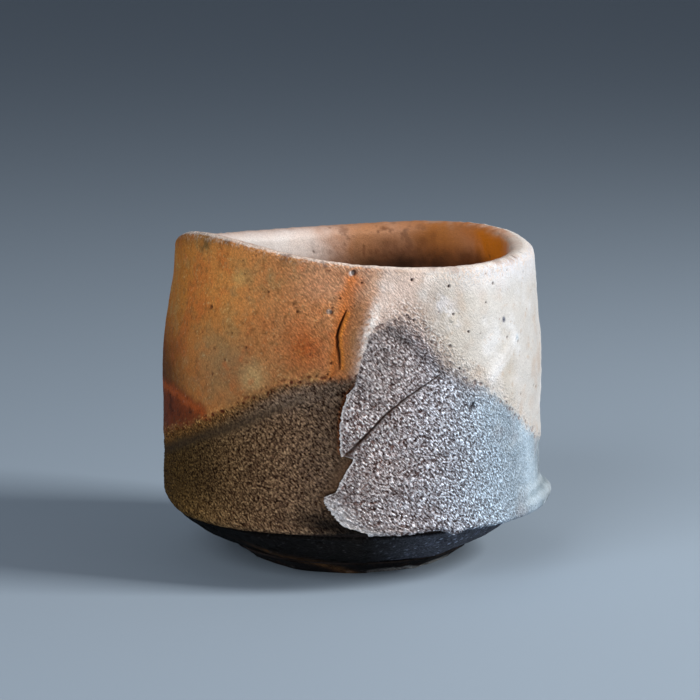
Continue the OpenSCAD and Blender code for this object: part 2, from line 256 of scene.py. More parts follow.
def skin(phi, z, d):
    """Everything about the finished outer surface: lift from wall_r in mm, colour, dryness.
    phi and z are flat arrays, d is the distance in mm right (+) or left (-) of the lap's free edge."""
    phi = wrap(phi)
    s = phi * 32.5 * RAD
    p = np.stack([32.5 * np.sin(phi * RAD), -32.5 * np.cos(phi * RAD), z], -1)
    right = d >= 0
    n_big = fbm(p / 7.0, 101, 3)
    n_mid = fbm(p / 2.2, 103, 3)
    bk = ramp(124, 168, np.abs(phi) + 8 * n_big)       # the back, where the two sides meet
    n_fine = fbm(p / 0.6, 105, 2)
    speck = noise(p / 0.36, 107)
    # ---- lap: low wall on the left, proud end on the right, a soft flank above, a torn edge below
    keep = 1 - 0.92 * ramp(42, 53, z)
    sharp = 1 - ramp(33.2, 36.5, z)
    high = 0.9 * keep * (1 - ramp(18, 42, d))
    low = -0.5 * keep * (1 - ramp(0, 38, -d))
    bead_l = 0.34 * np.exp(-((d - 0.1) / 1.15) ** 2) * (1 - ramp(43, 50, z))
    lift = mix(mix(low, high, ramp(-4.6, 1.9, d)) + bead_l, np.where(right, high, low), sharp)
    rw = mix(ramp(-2.4, 1.6, d), right.astype(float), sharp)          # right side, eased where the lap is soft
    rw = mix(rw, 0.5, bk)
    # ---- coat masks
    line = mix(np.interp(phi, LINE_L[:, 0], LINE_L[:, 1]), np.interp(phi, LINE_F[:, 0], LINE_F[:, 1]), mix(ramp(-0.8, 0.9, d + 0.4 * n_mid), right.astype(float), sharp))
    wob = fbm(p / 1.6, 11, 3) * 0.5 + fbm(p / 6.0, 15, 2) * 0.4
    sd = line - z + wob                       # above 0 in the grey
    soft = mix(0.75, 1.1 + 1.6 * bell(phi, 24, 9), rw)
    grey = ramp(-1, 1, sd / soft + 0.55 * n_fine + 0.45 * speck)
    # ---- grains of the grey slip, stretched down to the right
    along_g, across_g = (s - z) * 0.7071, (s + z) * 0.7071
    warp = np.stack([fbm(p / 2.0, 21, 2), fbm(p / 2.0, 22, 2), fbm(p / 2.0, 23, 2)], -1)
    smooth_r = np.where(right, ramp(17, 39, d + 0.3 * (z - 19) + 1.5 * n_mid + 2.6 * n_big), 0)
    coarse = (1 - smooth_r) * mix(1, 0.92, ramp(30, 37, z))
    q = np.stack([across_g / 0.25, along_g / 0.42, 0.4 * s], -1) + warp * 0.5
    worm = noise(q, 31) + 0.35 * noise(q * 1.9 + 5.1, 33)
    ql = np.stack([s / 0.34, z / 0.31, 0.3 * s], -1) + warp * 1.2
    worm_l = noise(ql, 35) + 0.4 * noise(ql * 1.8 + 3.3, 37)
    worm = mix(np.where(right, worm, worm_l), noise(p / 0.36 + 0.9 * warp, 39) * 1.3, bk)
    grain = ramp(-0.5, 0.62, worm)
    amp = mix(np.where(right, mix(0.06, 0.24, coarse), 0.18), 0.16, bk)
    # darker, smoother band under the line on the left, and a short scratch
    band_l = np.zeros_like(s)
    if (~right).any():
        db, tb = along(s, z, BAND)
        band_l = np.where(right, 0, (1 - ramp(0.1, 1.75 - 0.5 * tb, db + 0.5 * n_mid + 0.2 * n_fine)) * (1 - 0.55 * ramp(0.75, 1.0, tb)))
    dsc, _ = along(s, z, SCRATCH)
    scratch = np.where(right, 0, 1 - ramp(0.05, 0.22, dsc))
    # ---- slit, crease and crack
    ds, ts = along(s, z, SLIT)
    half = np.interp(ts, [0, 0.1, 0.25, 0.5, 0.75, 1.0], [0.64, 0.43, 0.35, 0.28, 0.23, 0.12])
    deep = np.interp(ts, [0, 0.1, 0.3, 0.6, 1.0], [1.1, 0.8, 0.55, 0.42, 0.25])
    slit = np.where(right, 1 - ramp(-0.2, 0.14, ds - half + 0.2 * n_fine + 0.09 * speck), 0)
    dcr, tcr = along(s, z, CREASE)
    crease = np.where(right, 1 - ramp(0.05, 0.32, dcr), 0)
    dn, tn = along(s, z, NOTCH)
    notch = np.where(right, (1 - ramp(0.05, 0.16 + 0.42 * tn, dn + 0.2 * n_fine + 0.12 * speck)) * ramp(0.05, 0.7, tn), 0)
    dc, tc = along(s, z, CRACK)
    hw = 0.22 * np.sin(np.pi * np.clip(tc, 0.02, 0.98)) ** 0.6
    crack = (1 - ramp(-0.12, 0.14, dc - hw)) * (tc > 0.005) * (tc < 0.995)
    shelf = np.where(right, 0, (1 - ramp(0.4, 3.2, -d + 0.4 * n_mid)) * bell(z, 20.2, 3.6) * sharp)
    # ---- pits
    pit = np.zeros_like(s)
    drop = np.zeros_like(s)
    for a, pz, r, dep in PIT_S:
        dd = np.hypot((phi - a) * 32.0 * RAD, z - pz)
        m = 1 - ramp(r * 0.5, r * 1.1, dd)
        pit = np.maximum(pit, m)
        drop = np.maximum(drop, m * dep)
    g1, _, gid = cells(p / 1.7, 61)
    pr = np.where(gid > 0.5, 0.07 + 0.12 * ((gid - 0.5) / 0.5) ** 2, 0)
    m = (1 - ramp(pr * 0.5, pr * 1.15 + 1e-6, g1)) * (pr > 0) * (1 - grey)
    pit = np.maximum(pit, m * 0.8)
    drop = np.maximum(drop, m * 0.18)
    # pits strung along the line, thickest on the left
    l1, _, lid = cells(p / 0.8, 71)
    at_line = np.exp(-((sd + 0.25) / np.where(right, 0.9, 0.95)) ** 2)
    pit_line = (1 - ramp(0.28, 0.46, l1)) * (lid > 0.25) * at_line
    drop = np.maximum(drop, pit_line * 0.22)
    # ---- height
    dv, tv = along(s, z, VALLEY)
    valley = np.where(right, np.exp(-((dv + 0.5 * n_mid) / 1.35) ** 2) * (1 - ramp(0.86, 1.0, tv)), 0)
    dfo, tfo = along(s, z, FOLD)
    fold_m = ramp(0.0, 0.3, tfo) * (1 - ramp(0.6, 1.0, tfo))
    fold = np.where(right, (1 - ramp(0.1, 0.9, dfo + 0.25 * n_fine + 0.4 * n_mid)) * fold_m, 0)
    fold_up = np.where(right, np.exp(-((dfo - 0.9 + 0.3 * n_mid) / 0.8) ** 2) * fold_m, 0)
    lumps = 0.26 * fbm(p / 11.0, 81, 2) + (0.11 + np.where(right, 0.08, 0) * (1 - grey)) * fbm(p / 4.0, 83, 2) + 0.05 * smooth_r * fbm(p / 1.3, 85, 2)
    peel = 0.035 * n_fine + 0.03 * speck
    bead = 0.08 * at_line * (1 - grey)
    frost = np.where(right, (1 - grey) * np.exp(-((sd + 1.3) / 2.3) ** 2) * np.clip(bell(phi, 24, 17) + 0.3 * bell(phi, 55, 20), 0, 1), 0)
    roughen = grey * (1 - slit) * (1 - 0.85 * shelf) * (1 - 0.55 * band_l)
    h = lift + lumps + (1 - grey) * (peel + 0.05) + bead
    h = h + roughen * (amp * (grain - 0.55) + 0.03 * speck) - 0.05 * grey + frost * 0.16 * (grain - 0.5)
    h = h - drop - crack * 0.8 - slit * deep - crease * 0.1 - notch * 0.42 - scratch * 0.15 - band_l * 0.1 - valley * 0.16 - fold * 0.1 + fold_up * 0.05
    corner = np.where(right, (1 - ramp(1.0, 4.6, d + 0.8 * n_mid)) * (1 - ramp(13.5, 18.5, z)), 0)
    h = h + corner * 0.32 * fbm(p / 1.1, 151, 2)
    facet = np.where(right, ramp(20.0, 20.9, d - (z - 14) * 0.16), 0) * ramp(10, 12, z) * (1 - ramp(26, 33, z))
    h = h - 0.28 * facet * (1 - ramp(21, 30, d))
    dimple = blob(s, z, 452, 313, 1.1) * np.where(right, 1, 0)
    h = h - 0.22 * dimple + 0.3 * blob(s, z, 450, 318, 0.5) * np.where(right, 1, 0)
    ridge_r, _ = along(s, z, RIDGE_R)
    shine = np.where(right, (1 - ramp(0.1, 1.7, ridge_r + 0.9 * n_mid + 0.3 * n_fine)) * np.clip(0.8 + 0.9 * n_mid, 0, 1), 0)
    h = h + 0.12 * shine
    for mark in MARKS:
        dm, _ = along(s, z, mark)
        h = h - 0.09 * (1 - ramp(0.05, 0.28, dm))
    # ---- colours: orange on the left
    one = np.ones((len(s), 1))
    c = lin(224, 152, 90)[None] * one
    c = tinted(c, lin(222, 164, 126), ramp(-24, 0, s) * 0.6)                           # pinker near the seam
    c = tinted(c, lin(186, 118, 40), ramp(-22, -42, s) * 0.8)                          # ochre round the left
    c = tinted(c, lin(192, 152, 104), ramp(-0.1, 0.5, n_mid * 0.8 + n_big * 0.6) * 0.65)
    c = tinted(c, lin(214, 120, 64), ramp(0.0, 0.55, 0.5 * n_mid - n_big) * 0.6 * (1 - 0.8 * bell(s, -9, 8) * ramp(39, 43, z)))
    c = tinted(c, lin(156, 108, 64), ramp(0.1, 0.5, fbm(p / 1.1, 131, 3) - 0.2 * n_big) * 0.6)
    c = tinted(c, lin(176, 150, 110), blob(s + 2.6 * n_mid, z + 3.0 * n_big, 222, 366, 4.6, 0.8) * 0.7 * np.where(right, 0, 1))
    c = tinted(c, lin(232, 200, 146), blob(s + 0.8 * n_mid, z + 0.6 * n_fine, 252, 377, 2.3, 0.7) * 0.8 * np.where(right, 0, 1))
    c = tinted(c, lin(228, 190, 130), blob(s + 0.8 * n_mid, z + 0.6 * n_fine, 240, 278, 1.2, 0.7) * 0.5 * np.where(right, 0, 1))
    c = tinted(c, lin(236, 206, 160), ramp(0.36, 0.72, speck + 0.35 * n_mid) * 0.6)
    c = tinted(c, lin(128, 72, 38), ramp(0.42, 0.8, -speck - 0.25 * n_mid) * 0.6)
    c = tinted(c, lin(120, 72, 34), ramp(-26, -40, s + 3 * n_mid) * ramp(40, 30, z + 4 * n_big) * 0.6)
    c = c * (np.array([0.80, 0.73, 0.61])[None] * one) * mix(0.86, 1.0, ramp(33, 42, z))[:, None]
    o1, _, oid = cells(p / 1.15, 161)
    c = tinted(c, lin(96, 54, 28), (1 - ramp(0.08, 0.24, o1)) * (oid > 0.72) * 0.7)
    c = tinted(c, lin(238, 200, 150), (1 - ramp(0.03, 0.15, o1)) * (oid < 0.14) * 0.55)
    c = tinted(c, lin(150, 112, 76), ramp(0.2, 0.6, fbm(p / 1.4, 163, 3)) * 0.45)
    c = tinted(c, lin(206, 112, 56), ramp(0.2, 0.6, fbm(p / 1.9, 167, 3)) * 0.4)
    c = tinted(c, lin(226, 176, 144), np.where(right, 0, ramp(-13, -4, s) * ramp(46.5, 50.5, z)) * 0.3)
    ember = blob(s + 1.5 * n_mid, z + 1.5 * n_big, 304, 350, 3.4, 0.8) * np.where(right, 0, 1)
    c = c * mix(np.ones(3)[None], np.array([0.88, 0.62, 0.42])[None], ember[:, None])
    # painted shade: the lower left, turned away from the light, is darkened in the colour
    c = c * mix(np.ones(3)[None], np.array([0.52, 0.47, 0.36])[None], np.where(right, 0, ramp(-31, -42, s + 3 * n_mid) * ramp(44, 33, z + 4 * n_big) * (1 - bk) * (1 - 0.6 * ramp(-46, -60, s)))[:, None])
    round_l = ramp(-46, -60, s)                # beyond the left silhouette
    below = np.interp(s, RUST[:, 0], RUST[:, 1]) - z + 0.9 * n_mid + 0.5 * n_fine + round_l * (3.4 * n_big + 1.5 * n_mid - 1.0)
    rust = np.where(right, 0, ramp(0, 1, (below + 1.1 + 2.6 * round_l) / (2.1 + 5.2 * round_l)) * (1 - ramp(RUST[-1, 0] - 2.5, RUST[-1, 0] + 1.0, s + 0.8 * n_mid)) * ramp(-128, -96, phi + 12 * n_mid))
    c = tinted(c, lin(112, 47, 17), rust * 0.92)
    c = tinted(c, lin(182, 88, 34), rust * np.exp(-((below - 1.0) / 0.9) ** 2) * 0.7 * (1 - 0.7 * round_l))
    c = tinted(c, lin(62, 30, 16), ramp(0.0, 0.5, n_mid + 0.6 * n_fine + 0.3 * speck) * rust * ramp(1.0, 3.0, below) * 0.75)
    c = tinted(c, lin(200, 150, 120), ramp(0.5, 0.75, speck + 0.3 * n_fine) * rust * 0.5)
    df, _ = along(s, z, FLASH)
    c = tinted(c, lin(206, 112, 38), (1 - 0.6 * rw) * (1 - ramp(0.4, 2.4, df + 0.7 * n_mid)) * 0.85)
    for (x, y, r) in ((208, 243, 1.0), (226, 240, 0.9), (243, 240, 1.0), (214, 240, 0.7), (285, 258, 0.9), (203, 247, 0.8)):
        c = tinted(c, lin(78, 62, 38), blob(s, z, x, y, r, 0.8) * ramp(-0.5, 0.5, n_mid + 0.5 * speck) * np.where(right, 0, 0.75))
    c = c * mix(np.ones(3)[None], np.array([1.0, 1.02, 0.85])[None], (np.where(right, 0, ramp(-12, -26, s) * ramp(38, 47, z)) * (1 - bk))[:, None])
    c = c * (1 + np.where(right, 0, 0.2 * ramp(42, 47, z) - 0.3 * ramp(-20, -28, s) * ramp(-3.0, -1.0, z - rim_h(phi) + n_mid)) * (1 - bk))[:, None]
    # beyond the left silhouette the colour cools towards the white at the back
    c = tinted(c, lin(206, 190, 170), np.where(right, 0, ramp(-114, -162, phi + 14 * n_big + 5 * n_mid) * (0.55 + 0.3 * n_big)))
    # the right: pink beside the crest, speckled, then cream with tan clouds
    wc = lin(218, 210, 198)[None] * one
    wc = tinted(wc, lin(216, 192, 178), (1 - ramp(5, 16, d)) * 0.9)
    wc = tinted(wc, lin(196, 166, 138), ramp(0.0, 0.7, n_big + 0.4 * n_mid) * 0.5)
    wc = tinted(wc, lin(244, 240, 234), ramp(0.1, 0.7, -n_big + 0.4 * n_mid) * 0.6)
    wc = tinted(wc, lin(150, 120, 100), ramp(0.4, 0.8, -speck) * 0.5 * (1 - ramp(9, 26, d)))
    wc = tinted(wc, lin(196, 158, 116), np.where(phi > 110, ramp(110, 172, phi) * 0.75 * ramp(-0.4, 0.4, n_big), 0))
    wc = tinted(wc, lin(240, 208, 176), np.where(right, ramp(-9, -1, sd) * ramp(16, 26, d) * (1 - ramp(60, 90, phi)), 0) * (0.06 + 0.14 * n_mid))
    # painted highlight: a bright bluish-white band just below the rim on the right
    wc = tinted(wc, lin(248, 246, 246), ramp(47, 53, z + 1.5 * n_mid) * ramp(8, 18, d) * np.where(phi > 110, 0, 1) * 0.6)
    fall = np.interp(d, [0, 6, 10, 14, 18, 24, 40], [1.04, 0.98, 0.86, 0.78, 0.81, 0.91, 0.88])
    cool = ramp(14, 26, d)[:, None]
    wc = wc * fall[:, None] * mix(np.array([1.0, 0.98, 0.97])[None], np.array([0.98, 1.02, 1.10])[None], cool)
    wc = wc * (1 - 0.17 * ramp(5, 9, d) * (1 - ramp(12, 15.5, d)) * (1 - ramp(49, 52, z)) + 0.14 * ramp(3, 6, d) * (1 - ramp(10, 14, d)) * ramp(49.5, 51.5, z))[:, None]
    # painted shade: a darker strip down the hollow beside the facet on the right
    wc = wc * mix(np.ones(3)[None], np.array([0.88, 0.84, 0.78])[None], (ramp(24, 28, d) * (1 - ramp(28, 32, d)) * (1 - ramp(39, 43, z + 1.5 * n_mid)))[:, None])
    wc = wc * mix(np.ones(3)[None], np.array([0.94, 0.74, 0.58])[None], ((1 - ramp(-1.0, 1.3, d + n_mid)) * ramp(43, 47, z))[:, None])
    w1, _, wid = cells(p / 1.3, 171)
    wc = tinted(wc, lin(150, 108, 78), (1 - ramp(0.05, 0.2, w1)) * (wid > 0.72) * 0.55)
    wc = tinted(wc, lin(190, 160, 132), ramp(0.25, 0.6, fbm(p / 1.2, 173, 3)) * 0.35)
    wc = tinted(wc, lin(250, 246, 242), frost * ramp(0.55, 0.95, grain + 0.2 * speck) * 0.6)
    wc = tinted(wc, lin(140, 108, 86), frost * ramp(0.4, 0.1, grain) * 0.6 * (1 - ramp(24, 34, phi)))
    white_m = mix(ramp(-2.2, 0.9, d + 0.7 * n_mid + 0.5 * n_fine), np.where(right, 1.0, 0.0), sharp)
    white_m = mix(white_m, ramp(-6.5, 1.5, d + 0.8 * n_mid + 1.5 * n_big), ramp(43, 52, z))
    c = tinted(c, wc, white_m)
    bc = lin(204, 176, 146)[None] * one
    bc = tinted(bc, lin(226, 210, 192), ramp(0.0, 0.6, n_big + 0.3 * n_mid) * 0.7)
    bc = tinted(bc, lin(188, 126, 76), ramp(0.05, 0.6, -n_big + 0.4 * n_mid) * 0.7)
    bc = tinted(bc, lin(130, 92, 60), ramp(0.3, 0.7, n_mid - 0.3 * n_big) * 0.4)
    c = tinted(c, bc, bk)
    # tan on the lap's left-facing flank: partly its own colour, partly painted shade
    flank_c = (1 - ramp(2.8, 4.8, -d)) * ramp(0.6, -0.8, d) * ramp(34.5, 36.5, z) * (1 - ramp(45, 51, z))
    c = tinted(c, lin(190, 132, 86), flank_c * 0.5)
    c = tinted(c, lin(126, 88, 58), flank_c * ramp(0.1, 0.6, -speck - 0.4 * n_fine) * 0.6)
    # painted shade on the flank just left of the crest, near the rim
    c = c * (1 - 0.2 * bell(d, -2.4, 1.7) * ramp(43, 47, z))[:, None]
    # painted highlight: white along the crest of the lap
    crest = np.exp(-((d - 0.4 + 0.35 * n_mid) / 0.95) ** 2) * ramp(34, 38, z) * (1 - ramp(45, 51, z)) * ramp(-0.7, 0.3, n_fine + 0.6 * speck)
    c = tinted(c, lin(248, 238, 230), crest * 0.95)
    # rim: bare pale edge with brown flecks; the thin white line along its top is partly a painted highlight
    up = z - rim_h(phi)
    n_rim = 0.8 * noise(p / 2.6, 121) + 0.6 * n_mid + 0.4 * n_fine
    c = tinted(c, lin(232, 206, 184), mix(ramp(-1.5, -0.3, up + 0.6 * n_mid), ramp(-4.0, -0.6, up + 1.5 * n_big), rw) * ramp(-0.1, 0.4, speck + 0.4 * n_fine) * 0.6)
    c = tinted(c, lin(112, 56, 32), mix(0.7, 0.18, rw) * ramp(0.2, 0.7, n_rim) * ramp(-3.6, -0.7, up))
    # thin white line on the rim's top: pale edge with a painted highlight
    c = tinted(c, lin(246, 236, 226), ramp(-0.45, -0.12, up + 0.2 * n_fine) * 0.7 * (1 - 0.75 * bk))
    c = tinted(c, lin(120, 72, 48), ramp(0.2, 0.65, n_rim) * ramp(-0.7, -0.2, up) * mix(0.7, 0.3, rw))
    c = tinted(c, lin(158, 122, 104), np.where(right, ramp(-0.1, 0.35, n_rim + 0.3 * speck) * ramp(-1.3, -0.25, up) * bell(phi, 42, 32), 0) * 0.35)
    # ---- grey slip
    gc = lin(126, 100, 92)[None] * one
    gc = tinted(gc, lin(198, 194, 197), ramp(0.08, 0.42, grain))
    gc = tinted(gc, lin(238, 239, 244), ramp(0.5, 0.95, grain + 0.15 * speck))
    gc = tinted(gc, lin(150, 147, 150), ramp(30, 37, z) * 0.4)
    gc = gc * mix(1.0, 1.08, ramp(29, 35, z))[:, None]
    gc = tinted(gc, lin(184, 208, 225) * mix(1.0, 0.58 + 0.52 * ramp(0.1, 0.85, grain), coarse)[:, None], np.where(right, ramp(8, 26, d), 0) * 0.85)
    # painted light and shade: brightness steps across the flap's right part stand in for the light on its facet, hollow
    # and swell
    gc = gc * (mix(1.0, 0.72, smooth_r) * np.where(right, np.interp(d + 0.25 * (z - 19) + 2.2 * n_big + 1.6 * n_mid, [8, 21, 25, 31, 36, 46], [1, 1.3, 1.24, 0.92, 1.26, 0.8]), 1))[:, None]
    for (x, y, r, k) in ((421, 342, 2.2, 0.4), (447, 381, 2.5, 0.2), (358, 420, 2.2, 0.4), (380, 460, 2.6, 0.36)):
        gc = gc * (1 + k * blob(s + 0.6 * n_mid, z, x, y, r, 0.8) * np.where(right, 1, 0))[:, None]
    gc = gc * mix(np.ones(3)[None], np.array([1.06, 1.0, 0.93])[None], np.where(right, 1 - ramp(4, 14, d), 0)[:, None])
    gc = gc * (1 + np.where(right, 0.16 * (1 - ramp(12, 19, z + 2.0 * n_big)) * (1 - ramp(17, 24, d)), 0))[:, None]
    gc = tinted(gc, lin(58, 38, 36), np.where(right, ramp(0.34, 0.06, grain) * bell(d, 16, 10), 0) * coarse * 0.6)
    gc = tinted(gc, lin(124, 132, 138), np.where(right, ramp(37, 48, d + 4 * n_big), 0) * 0.8)
    gc = gc * (1 - np.where(right, 0.17 * ramp(32, 38, d + n_mid) * (1 - ramp(13, 18, z + n_mid)), 0))[:, None]
    gc = tinted(gc, lin(196, 210, 218), smooth_r * ramp(0.0, 0.6, n_mid) * 0.6)
    gc = tinted(gc, lin(140, 160, 174), smooth_r * ramp(0.1, 0.6, -n_mid) * 0.5)
    veil = np.where(right, (1 - ramp(0.2, 3.4, sd)) * bell(phi, 22, 15), 0)
    gc = tinted(gc, lin(208, 188, 174), veil * 0.65)
    gc = tinted(gc, lin(112, 70, 46), veil * ramp(0.3, 0.65, -speck + 0.3 * n_fine) * 0.7)
    # painted shade along the valley below the grey's upper edge
    gc = tinted(gc, lin(84, 80, 83), valley * (0.5 + 0.14 * bell(phi, 17, 7)))
    # painted shade in the hem's crease at the lower right, and a painted highlight on the raised band beside it
    gc = tinted(gc, lin(100, 120, 130), fold * 0.35)
    gc = tinted(gc, lin(204, 218, 226), fold_up * 0.4)
    # painted shade in the notch
    gc = tinted(gc, lin(50, 40, 40), notch * 0.9)
    gc = tinted(gc, lin(160, 144, 140), ramp(0.1, 0.7, n_big) * 0.3)
    bl = lin(100, 72, 52)[None] * one
    bl = tinted(bl, lin(158, 124, 90), ramp(0.10, 0.5, grain))
    bl = tinted(bl, lin(190, 154, 114), ramp(0.5, 0.95, grain + 0.2 * speck))
    bl = tinted(bl, lin(160, 136, 116), ramp(-16, 0, s) * 0.4)
    bl = tinted(bl, lin(140, 108, 60), ramp(-14, -36, s) * 0.4)
    bl = tinted(bl, lin(152, 132, 114), np.exp(-((sd - 1.8) / 2.6) ** 2) * (0.15 + 0.5 * bell(s, -9, 9)))
    bl = tinted(bl, lin(230, 216, 200), ramp(0.62, 0.9, speck) * 0.3)
    bl = tinted(bl, lin(140, 132, 132), np.where(right, 0, ramp(-125, -168, phi)) * 0.8)
    # painted shade: the grey darkens towards the left, the side turned away from the light
    bl = bl * np.interp(s, [-45, -39, -31.5, -26, -21.4, -17, -9.6, -6, -2], [0.36, 0.38, 0.38, 0.48, 0.74, 0.86, 1.0, 0.8, 0.75])[:, None]
    bl = bl * (1 + 0.9 * np.exp(-((s + 29) / 8) ** 2) * (1 - ramp(10.5, 16.5, z + 0.8 * n_mid)))[:, None]
    bl = bl * mix(np.array([1.0, 0.97, 0.66])[None], np.ones(3)[None], ramp(-36, -10, s)[:, None])
    gb = lin(96, 80, 70)[None] * one
    gb = tinted(gb, lin(150, 138, 128), ramp(0.10, 0.5, grain))
    gb = tinted(gb, lin(182, 172, 162), ramp(0.5, 0.95, grain + 0.2 * speck))
    gc = np.where(right[:, None], gc, bl)
    gc = tinted(gc, gb, bk)
    gc = tinted(gc, lin(58, 46, 36), band_l * 0.72)
    gc = tinted(gc, lin(40, 28, 20), scratch * 0.8)
    gc = tinted(gc, lin(104, 74, 54), shelf * 0.66)
    # the slit shows the brown layer beneath; its near-black core is painted shade, and the crease is darkened as
    # painted shade
    gc = tinted(gc, lin(84, 52, 36), slit * (0.85 + 0.3 * n_fine))
    gc = tinted(gc, lin(34, 20, 15), slit * (1 - ramp(0.05, 0.26, ds + 0.1 * n_fine)) * ramp(0.05, 0.3, ts) * 0.85)
    gc = tinted(gc, lin(70, 48, 36), crease * 0.35)
    c = tinted(c, gc, grey)
    # shaded strip of bare wall just left of the torn edge
    c = tinted(c, lin(72, 46, 26), np.where(right, 0, (1 - ramp(0.2, 2.2, -d + 0.5 * n_mid)) * sharp * (1 - shelf)) * 0.6)
    c = tinted(c, lin(23, 21, 19), np.where(right, 0, (1 - ramp(3.0, 12.0, -d + 1.5 * n_mid)) * (1 - ramp(11.6, 15.4, z + 0.8 * n_mid + 0.4 * n_fine))) * 0.93)
    c = tinted(c, lin(168, 92, 44), np.where(right, 0, (1 - ramp(0.15, 0.75, -d + 0.3 * n_fine)) * sharp * (1 - shelf) * ramp(17, 20, z)) * 0.6)
    # painted highlight: a pale line along the torn edge where it catches the light
    torn = np.where(right, (1 - ramp(0.0, 0.55, d + 0.25 * n_fine)) * sharp, 0) * (1 - slit)
    c = tinted(c, lin(244, 240, 238), torn * 0.8)
    # white lumps at the flap's lower-left corner: pale glaze with painted highlights
    c = tinted(c, lin(246, 242, 240), corner * (0.55 + 0.5 * n_mid))
    ochre = np.where(right, 0, np.exp(-((sd - 0.5) / 1.1) ** 2) * ramp(-4, -18, s) * (1 - bk))
    c = tinted(c, lin(150, 104, 54), ochre * 0.55)
    c = tinted(c, lin(232, 176, 104), np.where(right, 0, at_line * ramp(-1, -8, s) * ramp(0.15, 0.55, speck + 0.4 * n_fine)) * 0.8)
    c = tinted(c, lin(84, 24, 10), pit_line * mix(np.where(right, 0.55, 0.95), 0.75, bk))
    c = tinted(c, lin(58, 26, 18), pit * 0.92)
    # painted light on the lit inner side of two pits
    c = tinted(c, lin(226, 218, 212), blob(s, z, 351.2, 273.5, 0.4, 0.4) * 0.85)
    c = tinted(c, lin(176, 164, 152), blob(s, z, 328.6, 312, 0.42, 0.4) * 0.8)
    # painted highlights: bluish-white patches around the dimple on the right
    c = tinted(c, lin(238, 240, 248), np.clip(blob(s + 0.9 * n_mid, z + 0.4 * n_fine, 444, 304, 2.2) + blob(s + 0.3 * n_fine, z + 0.6 * n_mid, 451, 320, 1.4), 0, 1) * ramp(-0.5, 0.5, n_mid + 0.7 * n_fine) * 0.4 * np.where(right, 1, 0))
    c = tinted(c, lin(84, 92, 112), blob(s, z, 501, 319, 0.5, 0.4) * 0.8)
    # a pit with a painted pale blue glint
    c = tinted(c, lin(176, 196, 208), blob(s, z, 515, 337, 0.6, 0.4) * 0.7)
    near_r = np.exp(-((dc - hw - 0.35) / 0.35) ** 2) * (tc > 0.01) * (tc < 0.99) * (s > np.interp(z, CRACK[::-1, 1], CRACK[::-1, 0]))
    c = tinted(c, lin(232, 140, 54), near_r * 0.8)
    # painted shade: near-black inside the crack
    c = tinted(c, lin(28, 9, 4), crack * 0.97)
    # painted highlight: whitening along the glossy streak
    c = tinted(c, lin(238, 238, 240), shine * 0.6 * (1 - 0.6 * pit))
    dry = mix(0.52, 0.85, grey) + 0.08 * n_mid + mix(0.16, -0.10, rw) * (1 - grey) - 0.2 * shine
    grit = roughen * mix(np.where(right, 0.16 + 0.84 * coarse, 1.0), 0.65, bk) + (1 - grey) * mix(0.2 + 0.16 * ramp(-24, -8, s), 0.05 + 0.10 * (1 - ramp(8, 26, d)), rw)
    grit = np.maximum(grit, frost * 0.42)
    grit = grit * (1 - pit) * (1 - crack) * (1 - 0.7 * torn) * (1 - 0.5 * corner)
    return h, c, np.clip(dry, 0.25, 0.95), np.clip(grit, 0, 1)


# ---------------------------------------------------------------- mesh building
def build(name, verts, quads, tris=None, colour=None, gloss=None, uv=None, grit=None, edge_rows=None):
    quads = np.asarray(quads, np.int32).reshape(-1, 4)
    tris = np.zeros((0, 3), np.int32) if tris is None else np.asarray(tris, np.int32).reshape(-1, 3)
    me = bpy.data.meshes.new(name)
    me.vertices.add(len(verts))
    me.vertices.foreach_set("co", (np.asarray(verts, float) * MM).astype(np.float32).ravel())
    loops = np.concatenate([quads.ravel(), tris.ravel()])
    me.loops.add(len(loops))
    me.loops.foreach_set("vertex_index", loops)
    starts = np.concatenate([np.arange(len(quads)) * 4, len(quads) * 4 + np.arange(len(tris)) * 3]).astype(np.int32)
    me.polygons.add(len(starts))
    me.polygons.foreach_set("loop_start", starts)
    me.update(calc_edges=True)
    me.polygons.foreach_set("use_smooth", np.ones(len(starts), bool))
    if colour is not None:
        a = me.attributes.new("tint", "FLOAT_COLOR", "POINT")
        a.data.foreach_set("color", np.concatenate([colour, np.ones((len(colour), 1))], 1).astype(np.float32).ravel())
    if gloss is not None:
        a = me.attributes.new("dry", "FLOAT", "POINT")
        a.data.foreach_set("value", gloss.astype(np.float32))
    if grit is not None:
        a = me.attributes.new("grit", "FLOAT", "POINT")
        a.data.foreach_set("value", grit.astype(np.float32))
    if edge_rows is not None:
        width, rows = edge_rows
        ev = np.empty(len(me.edges) * 2, np.int32)
        me.edges.foreach_get("vertices", ev)
        row = ev.reshape(-1, 2) // width
        hard = (row[:, 0] == row[:, 1]) & np.isin(row[:, 0], rows)
        me.attributes.new("sharp_edge", "BOOLEAN", "EDGE").data.foreach_set("value", hard)
    if uv is not None:
        me.uv_layers.new(name="OFBake").data.foreach_set("uv", uv.astype(np.float32).ravel())
    me.validate()
    ob = bpy.data.objects.new(name, me)
    bpy.context.scene.collection.objects.link(ob)
    return ob


def torus_quads(nr, nc):
    """Rows and columns both close on themselves."""
    i, j = np.meshgrid(np.arange(nr), np.arange(nc), indexing="ij")
    i1, j1 = (i + 1) % nr, (j + 1) % nc
    return np.stack([i * nc + j, i * nc + j1, i1 * nc + j1, i1 * nc + j], -1).reshape(-1, 4)


def torus_uv(nr, nc):
    """One chart for such a grid, opened along its first row and column."""
    i, j = np.meshgrid(np.arange(nr), np.arange(nc), indexing="ij")
    u0, u1, v0, v1 = j / nc, (j + 1) / nc, i / nr, (i + 1) / nr
    return np.stack([np.stack([u0, v0], -1), np.stack([u1, v0], -1), np.stack([u1, v1], -1), np.stack([u0, v1], -1)], -2)


def polar(phi, r, z):
    return np.stack([r * np.sin(phi * RAD), -r * np.cos(phi * RAD), z], -1)


